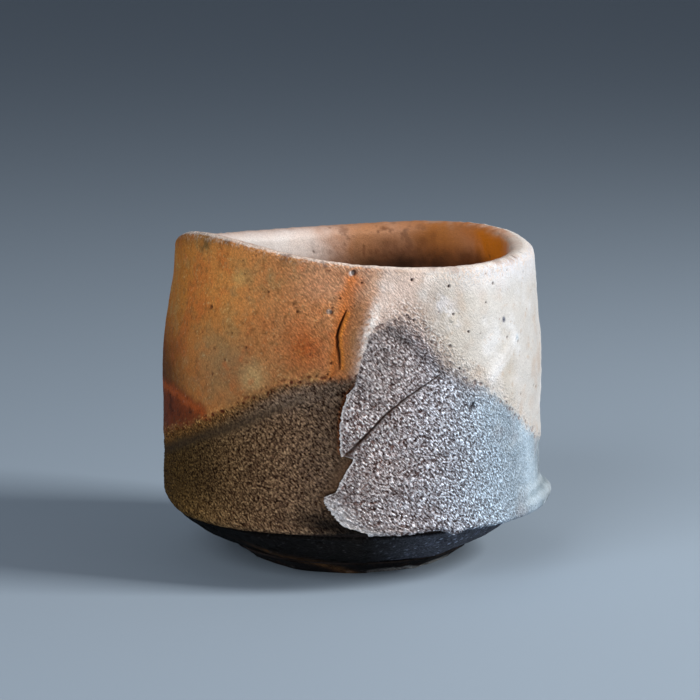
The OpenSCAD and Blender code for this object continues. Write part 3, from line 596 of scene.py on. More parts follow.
# columns measured from the lap's free edge, rightwards right round the cup
PSI = np.concatenate([np.arange(0, 66, 0.25), np.arange(66, 100, 0.5), np.arange(100, 262, 0.9), np.arange(262, 290, 0.5), np.linspace(290, 359.5, 233)])
# the lap's edge face: share of the way from the low left side to the crest, and how far it is undercut
CAP_UP = np.array([-0.22, -0.18, 0.1, 0.42, 0.72, 0.9])
CAP_IN = np.array([0.05, 0.55, 0.62, 0.35, 0.12, -0.05])


def seam_shift(psi):
    return 1 - ramp(0, 60, np.minimum(psi, 360 - psi))


def outer_rows(z_of_psi):
    """phi, z, d for each row; z_of_psi gives the row's height for each column."""
    z = z_of_psi(PSI)
    e = lap_edge(z)
    phi = PSI + e * seam_shift(PSI)
    for _ in range(2):
        z = z_of_psi(phi)
        e = lap_edge(z)
        phi = PSI + e * seam_shift(PSI)
    far = np.where(PSI > 180, PSI - 360, PSI)
    d = far * 32.5 * RAD + np.where(PSI > 180, -1e-4, 0)
    return phi, z, d


def split_h(phi):
    """Height where the two coats' pieces meet."""
    return np.interp(wrap(phi), [-180, -120, -90, -53, -30, -8, 5, 16, 28, 45, 65, 90, 140, 180], [29, 22, 22, 27, 31.5, 36, 40, 42, 38.5, 33.5, 25, 20.5, 22.5, 29])


def outer_grid(fracs, lo, hi):
    rows = [outer_rows(lambda a, f=f: lo(a) + (hi(a) - lo(a)) * f) for f in fracs]
    return tuple(np.array([r[k] for r in rows]) for k in range(3))


def with_cap(r, phi, z, col, gloss):
    """Adds the columns of the lap's edge face after the last column, so that the ring closes."""
    lo_r, hi_r = r[:, -1:], r[:, :1]
    edge = phi[:, :1]
    sharp = (1 - ramp(33.2, 36.5, z[:, :1]))
    rr = lo_r + (hi_r - lo_r) * CAP_UP[None] * 1.0
    rr = np.where(CAP_UP[None] < 0, lo_r + CAP_UP[None] * 1.2 * sharp, rr)
    rr = mix(mix(lo_r, hi_r, np.linspace(0.14, 0.86, len(CAP_UP))[None]), rr, sharp)
    aa = edge + mix(-0.5 * (1 - np.linspace(0.14, 0.86, len(CAP_UP))[None]), CAP_IN[None] / 32.5 / RAD, sharp)
    zz = mix(z[:, -1:], z[:, :1], np.linspace(0.14, 0.86, len(CAP_UP))[None])
    dark = lin(40, 24, 16)
    mixc = np.clip(CAP_UP, 0, 1)[None, :, None]
    cc = mix(mix(col[:, -1:], col[:, :1], np.linspace(0.14, 0.86, len(CAP_UP))[None, :, None]), mix(col[:, -1:] * 0.55, col[:, :1], mixc), sharp[:, :, None])
    gg = mix(gloss[:, -1:], gloss[:, :1], np.clip(CAP_UP, 0, 1)[None, :, None])
    return (np.concatenate([r, rr], 1), np.concatenate([phi, aa], 1), np.concatenate([z, zz], 1), np.concatenate([col, cc], 1), np.concatenate([gloss, gg], 1))


def evaluate(phi, z, d):
    h, c, g, k = skin(phi.ravel(), z.ravel(), d.ravel())
    return h.reshape(phi.shape), c.reshape(phi.shape + (3,)), np.stack([g, k], -1).reshape(phi.shape + (2,))


# grey coat: round the lower edge, then up to the split
def low_r(phi):
    return 1.1 + 2.0 * bell(phi, -88, 42)


f_low = np.linspace(0, 1, 186)
phi, z, d = outer_grid(f_low, lambda a: lower_edge(a) + low_r(a), split_h)
h, col, gl = evaluate(phi, z, d)
r = wall_r(phi, z) + h
turn = np.linspace(-90, -9, 10) * RAD
phi_e, z_e, d_e = outer_grid(1 + np.sin(turn), lower_edge, lambda a: lower_edge(a) + low_r(a))
low = low_r(phi_e)
h_e, col_e, gl_e = evaluate(phi_e, z[:1] + 0.6 * np.sin(turn)[:, None] * low, d_e)
r_e = wall_r(phi_e, z[:1]) + mix(h[:1], h_e, 0.7) - low + low * np.cos(turn)[:, None]
under = 29.2 + 0 * phi[:1]
r_all = np.concatenate([under, r_e, r])
phi_all = np.concatenate([phi_e[:1], phi_e, phi])
z_all = np.concatenate([z[:1] * 0 + z_e[:1] + 0.05, z_e, z])
col_all = np.concatenate([col_e[:1] * 0.5, col_e, col])
gl_all = np.concatenate([gl_e[:1], gl_e, gl])
r_all, phi_all, z_all, col_all, gl_all = with_cap(r_all, phi_all, z_all, col_all, gl_all)
BACK = 1.35


def inner_rows(phi, z, fr):
    """A smooth inner face for a coat, between its first and last row."""
    out = []
    for f in fr:
        zz = mix(z[0], z[1], f)
        pp = mix(phi[0], phi[1], f)
        out.append((pp, wall_r(wrap(pp), zz) - BACK - 0.45, zz))
    return out


def coat_piece(name, r, phi, z, col, gl, inner):
    last = len(r) - 1
    r = np.concatenate([r] + [i[1][None] for i in inner])
    phi = np.concatenate([phi] + [i[0][None] for i in inner])
    z = np.concatenate([z] + [i[2][None] for i in inner])
    col = np.concatenate([col] + [col[-1:] * 0.6 for _ in inner])
    gl = np.concatenate([gl] + [gl[-1:] for _ in inner])
    nr, nc = r.shape
    return build(name, polar(phi, r, z).reshape(-1, 3), torus_quads(nr, nc), None, col.reshape(-1, 3), gl[..., 0].ravel(), torus_uv(nr, nc), gl[..., 1].ravel(), (nc, [0, last]))


inner = inner_rows((phi_all[-1], phi_all[12]), (z_all[-1], z_all[12] + 0.5), [0.0, 0.35, 0.7, 1.0])
grey_coat = coat_piece("grey_slip_coat", r_all, phi_all, z_all, col_all, gl_all, inner)

# flame coat: from the split up over the rim
RIM_W = 3.3
RIM_T = 1.9


def rim_out(phi):
    return 0.7 + 1.5 * bell(phi, 104, 46) + 1.3 * bell(phi, -94, 32)


f_up = np.linspace(0, 1, 128)
phi, z, d = outer_grid(f_up, split_h, lambda a: rim_h(a) - rim_out(a))
h, col, gl = evaluate(phi, z, d)
r = wall_r(phi, z) + h
turn = np.linspace(8, 90, 11) * RAD
phi_e = np.repeat(phi[-1:], len(turn), 0)
z_e = z[-1:] + rim_out(phi_e) * np.sin(turn)[:, None]
h_e, col_e, gl_e = evaluate(phi_e, z_e, np.repeat(d[-1:], len(turn), 0))
lip = wall_r(phi_e, z[-1:]) - rim_out(phi_e)
r_e = lip + (rim_out(phi_e) + mix(h[-1:], h_e, 0.6) * np.cos(turn)[:, None]) * np.cos(turn)[:, None]
z_e = z_e + (0.25 * h_e + 0.12 * fbm(polar(phi_e, 32 + 0 * phi_e, z_e).reshape(-1, 3) / 1.3, 141, 2).reshape(phi_e.shape)) * np.sin(turn)[:, None]
rim_top = (phi_e[-1].copy(), r_e[-1].copy(), z_e[-1].copy())
r_all, phi_all, z_all, col_all, gl_all = with_cap(np.concatenate([r, r_e]), np.concatenate([phi, phi_e]), np.concatenate([z, z_e]), np.concatenate([col, col_e]), np.concatenate([gl, gl_e]))
top_in = [(phi_all[-1], r_all[-1], z_all[-1] - 1.0)]
inner = top_in + inner_rows((phi_all[-12], phi_all[0]), (z_all[-12] - 0.8, z_all[0]), [0.0, 0.35, 0.7, 1.0])
flame_coat = coat_piece("flame_glaze_coat", r_all, phi_all, z_all, col_all, gl_all, inner)

# ---------------------------------------------------------------- lining
FLOOR_Z = EDGE_Z + 0.8
COIL = 4.2
COIL_Z = FLOOR_Z + COIL


def floor_h(r):
    return FLOOR_Z - 1.2 * np.maximum(0, 1 - (r / 22) ** 2)


def lining_r(phi, z):
    full = wall_r(phi, np.maximum(z, 15)) - RIM_W - 1.1 * bell(phi, 100, 42) * ramp(38, 52, z) - 0.9 * (1 - ramp(20, 52, z))
    return mix(27.53 + 0 * z, full, ramp(COIL_Z, 27, z))


def inside(phi, z, rr):
    """Lumps and colour of the lining."""
    p = polar(phi, rr, z)
    h = 0.2 * fbm(p / 9, 201, 2) + 0.03 * fbm(p / 1.2, 203, 2)
    n_big, n_mid, n_fine = fbm(p / 8, 211, 3), fbm(p / 2.5, 213, 3), fbm(p / 0.6, 215, 2)
    phi = wrap(phi)

    def blend(c, k, t):
        t = np.clip(t, 0, 1)[:, None]
        return c * (1 - t) + k * t

    wl = ramp(15, 33, z)                       # the wall's own colours fade out towards the floor
    c = lin(238, 232, 228)[None] + 0 * p
    c = blend(c, lin(222, 196, 178)[None], ramp(-0.1, 0.6, n_big) * 0.25)
    c = c * (0.94 - 0.14 * bell(phi, -138, 18) + 0.1 * bell(phi, -160, 12))[:, None]
    c = blend(c, lin(206, 154, 116)[None], bell(phi + 4 * n_mid, 176, 15) * 0.92 * wl)
    c = blend(c, lin(188, 112, 26)[None], bell(phi + 5 * n_mid, 147, 30) * 0.94 * wl)
    c = blend(c, lin(176, 124, 68)[None], bell(phi, 0, 50) * 0.6 * wl)
    # towards the front and lower down the amber breaks up
    fade = np.maximum(ramp(104, 84, phi), 0.8 * ramp(134, 104, phi) * ramp(51, 44, z + 3 * n_mid))
    am = np.clip(1.15 * bell(phi + 16 * n_big + 7 * n_mid, 112, 26), 0, 1)
    am = mix(am, np.clip(0.85 * bell(phi + 30 * n_big + 26 * n_mid + 6 * n_fine, 112, 42), 0, 1), fade)
    am = am * wl * ramp(22, 42, z + 6 * n_big)
    c = blend(c, lin(150, 78, 18)[None], am * 0.9)
    c = blend(c, lin(212, 120, 12)[None], am * ramp(34, 47, z) * 0.9)
    # painted shadow of the right rim on the lower back wall inside
    c = blend(c, lin(84, 40, 8)[None], ramp(52, 47.5, z + 1.5 * n_mid) * bell(phi, 131, 13) * 0.9 * wl)
    c = blend(c, lin(104, 58, 28)[None], ramp(53.5, 48.5, z + 2.0 * n_mid) * bell(phi, 156, 28) * 0.8 * wl)
    c = blend(c, lin(36, 18, 8)[None], ramp(50.5, 46.0, z + 2.0 * n_mid) * bell(phi, 158, 36) * 0.9 * wl)
    c = blend(c, lin(96, 56, 32)[None], ramp(0.12, 0.4, n_mid + 0.3 * n_fine) * (0.06 + 0.7 * bell(phi, 172, 20) * wl))
    fc = lin(176, 140, 112)[None] + 0 * p
    fc = blend(fc, lin(126, 86, 58)[None], ramp(0.0, 0.6, n_big + 0.4 * n_mid) * 0.8)
    fc = blend(fc, lin(214, 190, 168)[None], ramp(0.1, 0.6, -n_big + 0.4 * n_mid) * 0.7)
    c = blend(c, fc, (1 - ramp(14, 40, z + 5 * n_big)) * 0.9)
    g1, _, gid = cells(p / 3.2, 221)
    pr = np.where(gid > 0.6, 0.05 + 0.09 * (gid - 0.6) / 0.4, 0)
    m = (1 - ramp(pr * 0.5, pr * 1.2 + 1e-6, g1)) * (pr > 0)
    h = h - 0.2 * m
    c = blend(c, lin(64, 34, 22)[None], m * 0.75)
    return h, c, np.clip(0.38 + 0.08 * n_mid, 0.2, 0.9)


cols = np.arange(0, 360, 0.9)
phi_c = cols + 9.0
rows = []
top_phi = np.concatenate([rim_top[0] - 360, rim_top[0], rim_top[0] + 360])
order = np.argsort(top_phi)
top_r = np.interp(phi_c, top_phi[order], np.tile(rim_top[1], 3)[order])
top_z = np.interp(phi_c, top_phi[order], np.tile(rim_top[2], 3)[order])
rows.append((top_r, top_z))
zr = rim_h(wrap(phi_c)) - RIM_T
inner_r = lining_r(wrap(phi_c), zr)
N_R = 14                                       # rows in the rim's inner rounding
flat = 1 - 0.6 * bell(wrap(phi_c), 94, 42)
for a in np.linspace(94, 174, N_R):
    rows.append((mix(inner_r, top_r, 1 + math.cos(a * RAD)), zr + (top_z - zr) * math.sin(a * RAD) ** flat))
for f in np.linspace(0, 1, 78):
    zz = mix(zr, COIL_Z + 0 * zr, f)
    rows.append((lining_r(wrap(phi_c), zz), zz))
for a in np.linspace(6, 84, 13):
    rows.append((27.93 - COIL + (COIL - COAT) * math.cos(a * RAD) + 0 * zr, COIL_Z - (COIL - COAT) * math.sin(a * RAD) + 0 * zr))
for q in np.linspace(23.7, 0.6, 34):
    rows.append((q + 0 * zr, floor_h(q) + COAT + 0 * zr))
R = np.array([a for a, _ in rows])
Z = np.array([b for _, b in rows])
PH = np.repeat(phi_c[None], len(rows), 0)
h, c, g = inside(PH.ravel(), Z.ravel(), R.ravel())
h = h.reshape(R.shape)
n_wall = 1 + N_R + 78
ease = np.concatenate([[0], np.linspace(0.1, 0.9, N_R), np.ones(R.shape[0] - N_R - 1)])[:, None]
radial = np.concatenate([np.ones(n_wall), np.cos(np.linspace(6, 84, 13) * RAD), np.zeros(34)])[:, None]
upward = np.concatenate([np.zeros(n_wall), np.sin(np.linspace(6, 84, 13) * RAD), np.ones(34)])[:, None]
R2 = R - h * radial * ease
Z2 = Z + h * upward * ease
c = c.reshape(R.shape + (3,))
# the rim's inner half takes the outer coat's pale edge
pale = np.concatenate([np.linspace(1, 0, N_R + 1), np.zeros(R.shape[0] - N_R - 1)])[:, None, None]
right_edge = np.maximum(bell(wrap(PH), 70, 28), bell(wrap(PH), 94, 26))[..., None]
pale = np.maximum(pale, right_edge * np.concatenate([np.ones(N_R - 4), np.linspace(1, 0, 6), np.zeros(R.shape[0] - N_R - 2)])[:, None, None])
n_in = fbm(polar(PH, R, Z).reshape(-1, 3) / 2.2, 231, 3).reshape(R.shape)[..., None]
edge_c = mix(lin(178, 116, 80)[None, None], lin(226, 200, 180)[None, None], ramp(-0.25, 0.35, n_in))
edge_c = mix(edge_c, lin(160, 106, 76)[None, None], 0.85 * bell(wrap(PH), 180, 52)[..., None])
inward = np.clip(np.arange(R.shape[0]) / N_R, 0, 1)[:, None, None] ** 1.5
c = mix(c, mix(edge_c, mix(lin(236, 226, 216)[None, None], lin(208, 160, 120)[None, None], inward), right_edge), pale * np.clip(mix(0.6, 0.85, right_edge) + 0.5 * n_in, 0, 0.95))
fleck = ramp(0.02, 0.32, fbm(polar(PH, R, Z).reshape(-1, 3) / 1.1, 233, 3).reshape(R.shape))[..., None] * bell(wrap(PH), 48, 34)[..., None]
c = mix(c, lin(152, 116, 98)[None, None], 0.5 * fleck * np.concatenate([np.linspace(0.6, 1, N_R + 1), np.zeros(R.shape[0] - N_R - 1)])[:, None, None])
# clay side, fewer rows
back = []
for q in (0.6, 10.0, 20.0, 24.5):
    back.append((q + 0 * zr, floor_h(q) + 0.03 + 0 * zr))
back.append((26.9 + 0 * zr, FLOOR_Z + 1.4 + 0 * zr))
for f in (1.0, 0.66, 0.33, 0.0):
    zz = mix(zr - 0.5, COIL_Z + 0 * zr, f)
    back.append((lining_r(wrap(phi_c), zz) + 0.38, zz))
back.append((top_r, top_z - 1.0))
RB = np.concatenate([R2, np.array([a for a, _ in back])])
ZB = np.concatenate([Z2, np.array([b for _, b in back])])
PB = np.repeat(phi_c[None], len(RB), 0)
cb = np.concatenate([c, np.repeat(c[-1:], len(back), 0)])
gb = np.concatenate([g.reshape(R.shape), np.full((len(back), len(phi_c)), 0.6)])
nr, nc = RB.shape
pole_row = len(rows) - 1
quads = torus_quads(nr, nc).reshape(nr, nc, 4)
quads = np.concatenate([quads[:pole_row], quads[pole_row + 1:]]).reshape(-1, 4)[:, ::-1]
uv = torus_uv(nr, nc)
uv_a, uv_b = uv[pole_row, :, :2], uv[pole_row, :, 2:]          # the two fans share the row left out
uv = np.concatenate([uv[:pole_row], uv[pole_row + 1:]]).reshape(-1, 4, 2)[:, ::-1]
half_v = np.array([0, 0.45 / nr])
tip_a = uv_a.mean(1, keepdims=True) + half_v
tip_b = uv_b.mean(1, keepdims=True) - half_v
uv_fan = np.concatenate([np.concatenate([uv_a[:, ::-1], tip_a], 1), np.concatenate([uv_b[:, ::-1], tip_b], 1)])
verts = np.concatenate([polar(PB, RB, ZB).reshape(-1, 3), [[0, 0, ZB[pole_row].mean()], [0, 0, ZB[pole_row + 1].mean()]]])
j = np.arange(nc)
tri = np.concatenate([
    np.stack([pole_row * nc + (j + 1) % nc, pole_row * nc + j, np.full(nc, nr * nc)], -1),
    np.stack([(pole_row + 1) * nc + j, (pole_row + 1) * nc + (j + 1) % nc, np.full(nc, nr * nc + 1)], -1)])
lining = build("glaze_lining", verts, quads, tri, np.concatenate([cb.reshape(-1, 3), cb[-1, :2]]), np.concatenate([gb.ravel(), [0.6, 0.6]]), np.concatenate([uv.reshape(-1, 2), uv_fan.reshape(-1, 2)]), np.full(nr * nc + 2, 0.04), (nc, [0]))

# ---------------------------------------------------------------- clay strip under the coats
t0 = 16.0


def strip():
    n_a, n_b, n_z = 6, 120, 48
    zz = np.linspace(0, 1, n_z)
    outs, ins = [], []
    for v in zz:
        zn = EDGE_Z + 0.4 + (52 - EDGE_Z) * v
        e = float(np.interp(zn, LAP[:, 0], LAP[:, 1])) + 2.6
        ta = t0 - e
        t = np.concatenate([ta * np.arange(n_a) / n_a, ta + (358.4 - ta) * np.arange(n_b + 1) / n_b, 360 + ta * np.arange(n_a + 1) / n_a])
        ph = t0 - t
        z = EDGE_Z + 0.35 + (rim_h(wrap(ph)) - 1.9 - EDGE_Z) * v
        base = wall_r(wrap(ph), np.maximum(z, 12)) - COAT - 0.6 * ramp(-3.5, 0, z - rim_h(wrap(ph)) + 1.6)
        thin = -0.5 - 1.4 * np.clip(1 - t / ta, 0, 1)
        out = base + np.where(t < ta, thin, np.where(t < 359, -1.35, -0.1))
        inn = np.where(t < 359, lining_r(wrap(ph), z) + 0.45, base - 0.5 - 1.4 * np.clip(1 - (t - 360) / ta, 0, 1) + 0.3)
        inn = np.minimum(inn, out - 0.25)
        outs.append(polar(ph, out, z))
        ins.append(polar(ph, inn, z))
    outs, ins = np.array(outs), np.array(ins)
    nr, nc = outs.shape[:2]
    n = nr * nc
    a = np.arange(n).reshape(nr, nc)
    b = a + n
    f = []
    f.append(np.stack([a[:-1, :-1], a[1:, :-1], a[1:, 1:], a[:-1, 1:]], -1).reshape(-1, 4))
    f.append(np.stack([b[:-1, :-1], b[:-1, 1:], b[1:, 1:], b[1:, :-1]], -1).reshape(-1, 4))
    f.append(np.stack([a[0, :-1], a[0, 1:], b[0, 1:], b[0, :-1]], -1))
    f.append(np.stack([a[-1, 1:], a[-1, :-1], b[-1, :-1], b[-1, 1:]], -1))
    f.append(np.stack([a[1:, 0], a[:-1, 0], b[:-1, 0], b[1:, 0]], -1))
    f.append(np.stack([a[:-1, -1], a[1:, -1], b[1:, -1], b[:-1, -1]], -1))
    return np.concatenate([outs.reshape(-1, 3), ins.reshape(-1, 3)]), np.concatenate(f)


v, f = strip()
clay = build("wall_strip", v, f)

# ---------------------------------------------------------------- carved base and foot
FACETS = [(-53, 0.955), (-12, 0.985), (22, 0.965), (58, 0.975), (96, 0.96), (134, 0.98), (171, 0.965), (-150, 0.975), (-102, 0.97)]


def carve(phi, r):
    k = np.full(phi.shape, 1.02)
    for a, q in FACETS:
        c = np.cos(wrap(phi - a) * RAD)
        k = np.minimum(k, np.where(c > 0.5, q / np.maximum(c, 0.5), 2))
    return r * k


def stone(p, seed):
    g = 0.16 * fbm(p / 3.0, seed, 3) + 0.06 * fbm(p / 0.8, seed + 3, 2)
    f1, f2, ident = cells(p / np.array([2.2, 2.2, 1.1]), seed + 7)
    return g - 0.3 * (1 - ramp(0.15, 0.45, f1)) * (ident > 0.7)


def base_piece():
    ph = np.arange(0, 360, 0.6)
    sec = [(q, 2.5, 0) for q in np.linspace(0.8, 12.0, 14)] + [(17.0, 2.5, 0)]
    for f in np.linspace(0, 1, 46):
        sec.append((mix(19.7, 29.9, f), mix(2.5, 8.75, f) - 0.75 * math.sin(f * math.pi), 1 + f))
    sec += [(29.6, 9.15, 0), (27.5, 9.2, 0), (27.5, 10.38, 0), (20.0, float(floor_h(20.0)), 0), (10.0, float(floor_h(10.0)), 0), (0.02, float(floor_h(0.02)), 0), (0.02, 2.5, 0)]
    r = np.array([a for a, _, _ in sec])[:, None] + 0 * ph[None]
    z = np.array([b for _, b, _ in sec])[:, None] + 0 * ph[None]
    live = np.array([c for _, _, c in sec], float)[:, None]
    phi = np.repeat(ph[None], len(sec), 0)
    r = r - np.where(live > 1, (live - 1) * 1.3 * bell(phi, 72, 34), 0)
    live = np.minimum(live, 1)
    rc = carve(phi, r)
    tight = 1 - ramp(8.0, 8.75, z)
    r = np.where(live > 0, mix(r, rc, tight), r)
    p = polar(phi, r, z)
    h = stone(p.reshape(-1, 3), 301).reshape(r.shape)
    r = r + h * live * 0.52
    z = z - h * live * 0.85 * tight
    z = np.where(live > 0, np.maximum(z, 2.2), z)
    n_mid = fbm(p.reshape(-1, 3) / 2.0, 331, 3)
    n_fine = fbm(p.reshape(-1, 3) / 0.5, 335, 2)
    c = lin(34, 31, 29)[None] + 0 * p.reshape(-1, 3)
    c = mix(c, lin(60, 58, 60)[None], np.clip(ramp(0.2, 0.8, n_mid) * 0.5, 0, 1)[:, None])
    c = mix(c, lin(18, 16, 16)[None], np.clip(ramp(0.1, 0.8, -n_mid) * 0.7, 0, 1)[:, None])
    c = mix(c, lin(150, 146, 144)[None], np.clip(ramp(0.3, 0.7, n_fine) * 0.3, 0, 1)[:, None])
    pb = wrap(phi.ravel())
    cone = live.repeat(r.shape[1], 1).ravel()
    # painted shade on the base's left, away from the light
    c = c * (1 - 0.72 * cone * bell(pb, -64, 50))[:, None]
    # painted light and a painted blue reflection of the floor on the base's right
    c = c * mix(np.ones(3)[None], np.array([6.6, 8.2, 11.0])[None], (cone * ramp(2, 34, pb + 6 * n_mid) * (1 - ramp(95, 140, pb)))[:, None])
    # painted light: a brown line along the lit facet edge on the base's left
    ridge = np.exp(-((wrap(phi.ravel() + 4 + (z.ravel() - 0.5) * 8.4 + 7 * n_mid)) / 9.0) ** 2) * (1 - ramp(3.4, 6.4, z.ravel())) * cone
    c = mix(c, lin(120, 84, 50)[None], np.clip(ridge * (0.55 + 0.7 * n_mid), 0, 0.8)[:, None])
    nr, nc = r.shape
    return build("base_disc", polar(phi, r, z).reshape(-1, 3), torus_quads(nr, nc), None, c, np.full(nr * nc, 0.7), torus_uv(nr, nc), np.full(nr * nc, 0.6))


def foot_piece():
    ph = np.arange(0, 360, 0.6)
    sec = [(12.4, 2.2), (12.5, 1.4), (12.7, 0.6)] + [(q, 0.0) for q in np.linspace(13.2, 16.6, 9)]
    k = len(sec) - 1                           # outer edge of the flat face
    sec += [(mix(16.7, 19.6, f), 0.05 + 2.1 * f ** 0.85) for f in np.linspace(0.02, 1, 22)]
    sec += [(16.0, 2.2)]
    r = np.array([a for a, _ in sec])[:, None] + 0 * ph[None]
    z = np.array([b for _, b in sec])[:, None] + 0 * ph[None]
    phi = np.repeat(ph[None], len(sec), 0)
    live = np.concatenate([np.zeros(k + 1), np.ones(22), [0]])[:, None]
    low = 1 - ramp(0.0, 0.9, z)
    r = np.where(live > 0, mix(r, carve(phi, r), 0.9), r)
    r[k] = np.minimum(r[k], r[k + 1] - 0.08)
    p = polar(phi, r, z)
    h = stone(p.reshape(-1, 3), 351).reshape(r.shape)
    f1, f2, ident = cells(p.reshape(-1, 3) / np.array([2.6, 2.6, 3.0]), 361)
    chip = ((1 - ramp(0.25, 0.5, f1)) * (ident > 0.45)).reshape(r.shape) * low
    r = r + (h * 0.6 - chip * 0.5) * live
    r[k] = np.minimum(r[k], r[k + 1] - 0.05)
    n_mid = fbm(p.reshape(-1, 3) / 2.0, 371, 3)
    n_fine = fbm(p.reshape(-1, 3) / 0.5, 375, 2)
    c = lin(36, 33, 33)[None] + 0 * p.reshape(-1, 3)
    c = mix(c, lin(74, 52, 36)[None], np.clip(ramp(0.0, 0.8, n_mid) * 0.6, 0, 1)[:, None])
    c = mix(c, lin(28, 24, 24)[None], np.clip(ramp(0.1, 0.8, -n_mid) * 0.6, 0, 1)[:, None])
    # painted light: the brown lit facet edge continued on the foot's left
    ridge = np.exp(-((wrap(phi.ravel() + 4 + (z.ravel() - 0.5) * 8.4)) / 6.0) ** 2)
    c = mix(c, lin(150, 106, 64)[None], np.clip(ridge * (0.55 + 0.5 * n_mid), 0, 0.9)[:, None])
    # pale bare clay on the foot's front right: wear, with painted highlights where the light from the right falls
    wear_and_highlight = ramp(1.0, 0.35, z.ravel() + 0.5 * n_mid) * (bell(phi.ravel(), 30, 14) + 0.9 * bell(phi.ravel(), 58, 16)) * ramp(15.6, 16.6, r.ravel())
    c = mix(c, lin(224, 220, 214)[None], np.clip(chip.ravel() * 0.6 * ramp(15.4, 16.8, r.ravel()) + wear_and_highlight + ramp(0.6, 0.9, n_fine) * 0.3, 0, 1)[:, None])
    nr, nc = r.shape
    return build("foot_ring", polar(phi, r, z).reshape(-1, 3), torus_quads(nr, nc), None, c, np.full(nr * nc, 0.7), torus_uv(nr, nc), np.full(nr * nc, 0.6))


base = base_piece()
foot = foot_piece()


